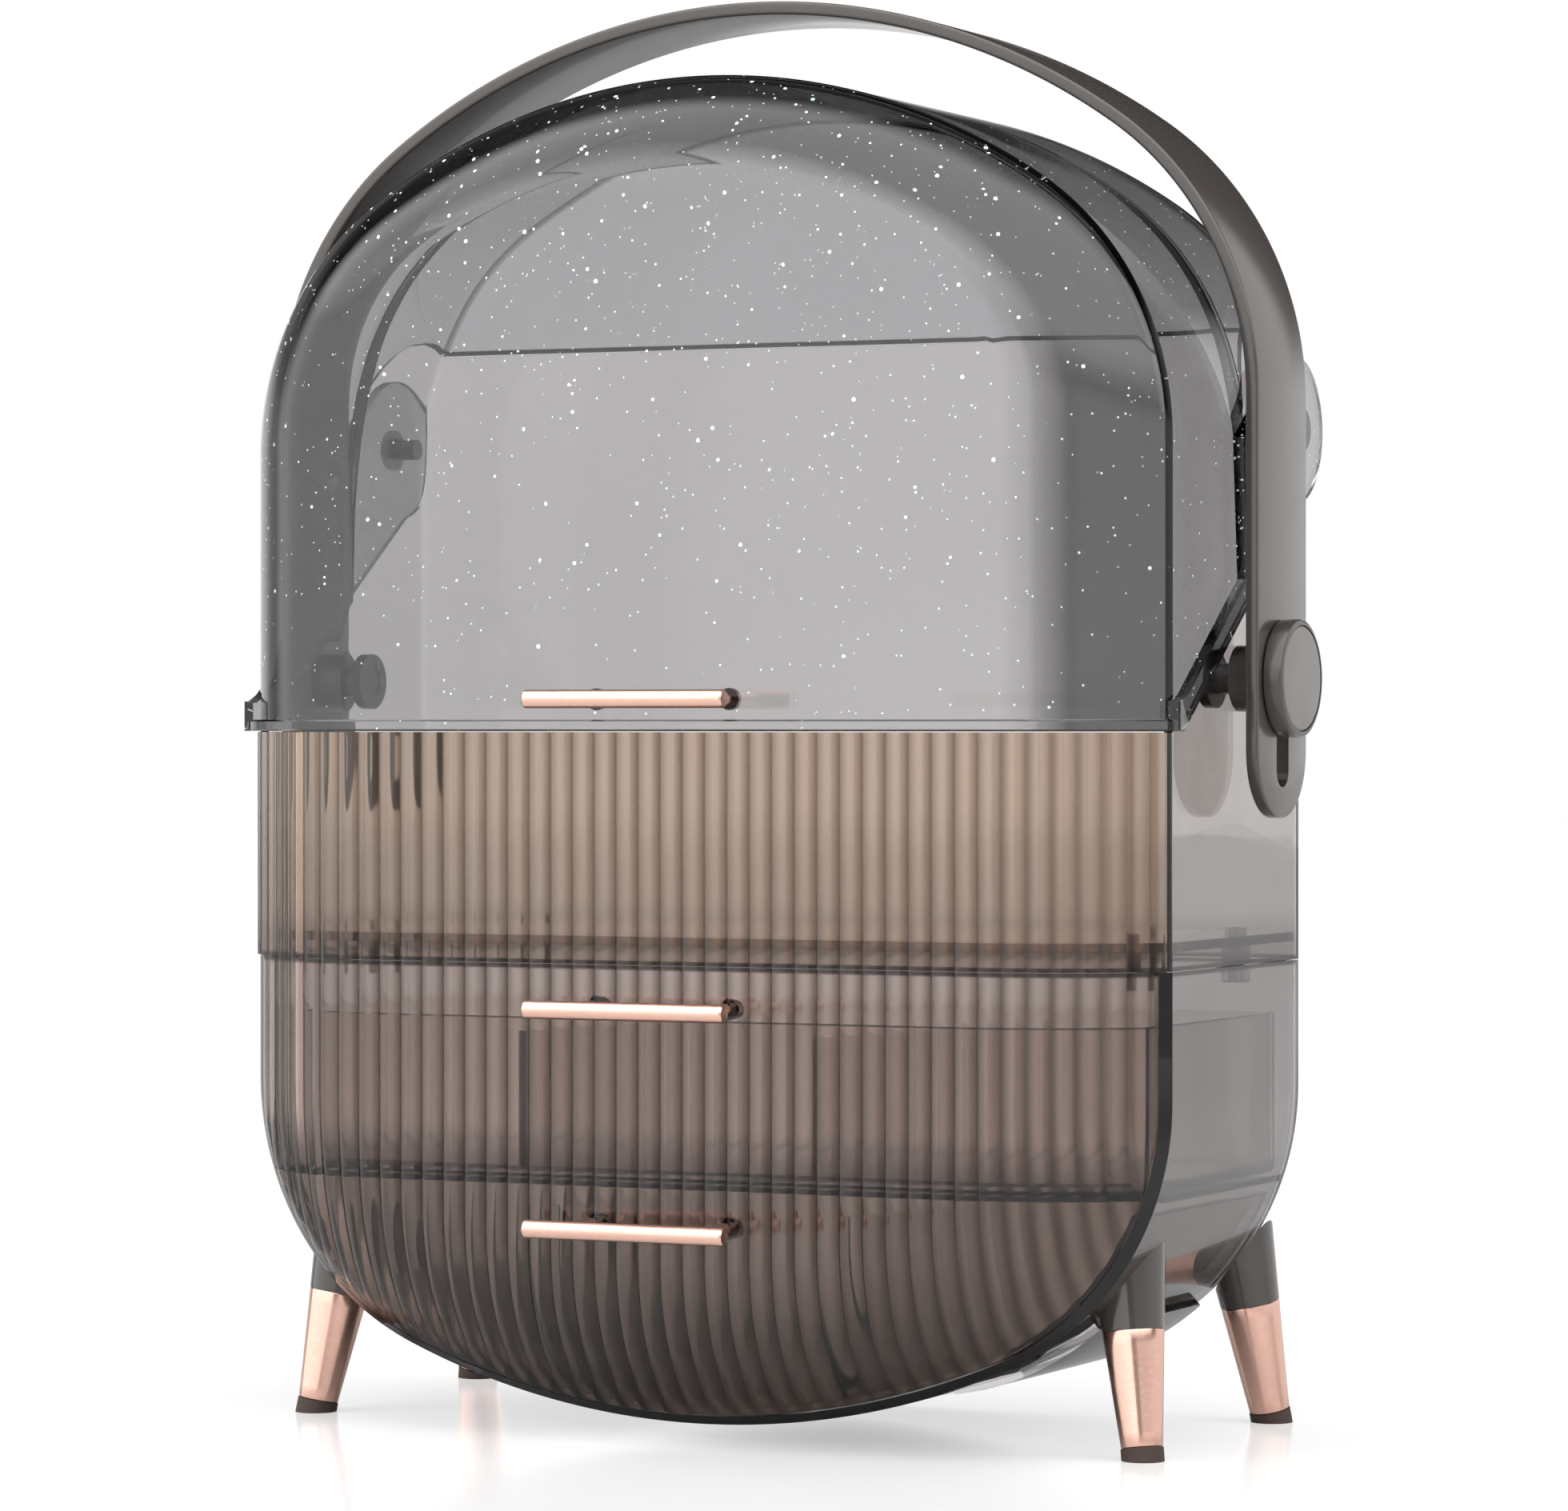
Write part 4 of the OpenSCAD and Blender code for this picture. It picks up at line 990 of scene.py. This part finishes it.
def band_line():
    """Points and outward directions along the middle of the band, foot to foot."""
    size = tuple(v - BAND_T / 2 for v in HANDLE_SIZE)
    lean, knee = knee_of(size)
    turns = [lean * k / 40 for k in range(40)]
    turns += [lean + (math.pi / 2 - lean) * k / 50 for k in range(51)]
    line = [(*arch_point(size, turn), turn) for turn in turns]
    drop = knee - HANDLE_FOOT - BAND_W / 2
    heights = [knee - drop * k / 8 for k in range(1, 9)]
    heights += [HANDLE_FOOT + BAND_W / 2 * (1 - math.sin(math.pi / 2 * k / 18)) for k in range(1, 19)]
    line += [(size[0], z, math.pi / 2) for z in heights]
    return [(-x, z, -t) for x, z, t in reversed(line[1:])] + line


sections = []
for x, z, turn in band_line():
    below = max(0, HANDLE_FOOT + BAND_W / 2 - z)
    half = math.sqrt(max(0.02, (BAND_W / 2) ** 2 - below ** 2))
    ease = min(0.8, half * 0.4)
    edge = []
    for k in range(5):
        bend = math.pi / 2 * k / 4
        edge.append((-half + ease * (1 - math.cos(bend)), BAND_T / 2 - ease * (1 - math.sin(bend))))
    ring = edge + [(-a, b) for a, b in reversed(edge)]
    ring += [(a, -b) for a, b in reversed(ring)]
    sections.append([at(x + b * math.sin(turn), PIVOT_Y + a, z + b * math.cos(turn)) for a, b in ring])
handle = piece("handle_band", [swept(sections)], handle_grey, "handle", ["carry_handle"])

SLOT_R, LIFT, SLOT_XS = 4.5, 25, (140, 160)
slot_line = [(SLOT_R * math.cos(math.pi * k / 24), SLOT_R * math.sin(math.pi * k / 24)) for k in range(25)]
slot_line += [(-y, -z - LIFT) for y, z in slot_line]
blades = []
for side in (-1, 1):
    blades.append(swept([[at(side * x, PIVOT_Y + y, PIVOT_Z + z) for y, z in slot_line] for x in SLOT_XS]))
knife = bpy.data.objects.new("slot_knife", solid_mesh("slot knife", blades))
room.collection.objects.link(knife)
cut = handle.modifiers.new("slots", "BOOLEAN")
cut.operation = "DIFFERENCE"
cut.solver = "EXACT"
cut.object = knife
slotted = bpy.data.meshes.new_from_object(handle.evaluated_get(bpy.context.evaluated_depsgraph_get()))
handle.modifiers.clear()
handle.data = slotted
smooth_below(slotted, 28)
bpy.data.objects.remove(knife)

# Knobs.
# Round grey heads on shafts that pass through the handle's slots and the tray wall, each
# with a satin disc let into its face, a bush behind it and a nut inside the wall.
knob_satin = grained("knob disc", (124, 121, 119), (112, 109, 107), 0.3, 80, coat=0.2)
knob_dark = grained("knob grey", (84, 79, 77), (76, 71, 69), 0.22, 60, coat=0.35)
HEAD_IN, HEAD_OUT, HEAD_R = 152.8, 158.3, 16
SHAFT_IN, SHAFT_R, DISC_R = 129, 4.2, 14.2
head = [(SHAFT_IN, SHAFT_R), (HEAD_IN, SHAFT_R), (HEAD_IN, HEAD_R - 0.8), (HEAD_IN + 0.25, HEAD_R - 0.2),
        (HEAD_IN + 0.9, HEAD_R), (HEAD_OUT - 1.1, HEAD_R), (HEAD_OUT - 0.35, HEAD_R - 0.3),
        (HEAD_OUT, HEAD_R - 1), (HEAD_OUT, HEAD_R - 1.55), (HEAD_OUT - 1.2, HEAD_R - 1.6)]
disc = [(HEAD_OUT - 1.15, DISC_R), (HEAD_OUT - 0.35, DISC_R), (HEAD_OUT - 0.12, DISC_R - 0.3),
        (HEAD_OUT - 0.05, DISC_R - 1), (HEAD_OUT, 6)]
for hand, side in (("left", -1), ("right", 1)):
    pivot, outwards = (0, PIVOT_Y, PIVOT_Z), (side, 0, 0)
    piece(f"knob_{hand}", [turned(head, pivot, outwards, 96)], knob_dark, "pivots",
          [f"handle_knob_{hand}"])
    piece(f"knob_disc_{hand}", [turned(disc, pivot, outwards, 96)], knob_satin, "pivots",
          [f"knob_cover_{hand}"])
    for node in (f"pivot_bush_{hand}", f"pivot_nut_{hand}", f"hinge_pin_{hand}"):
        keep_solid(node, knob_dark)
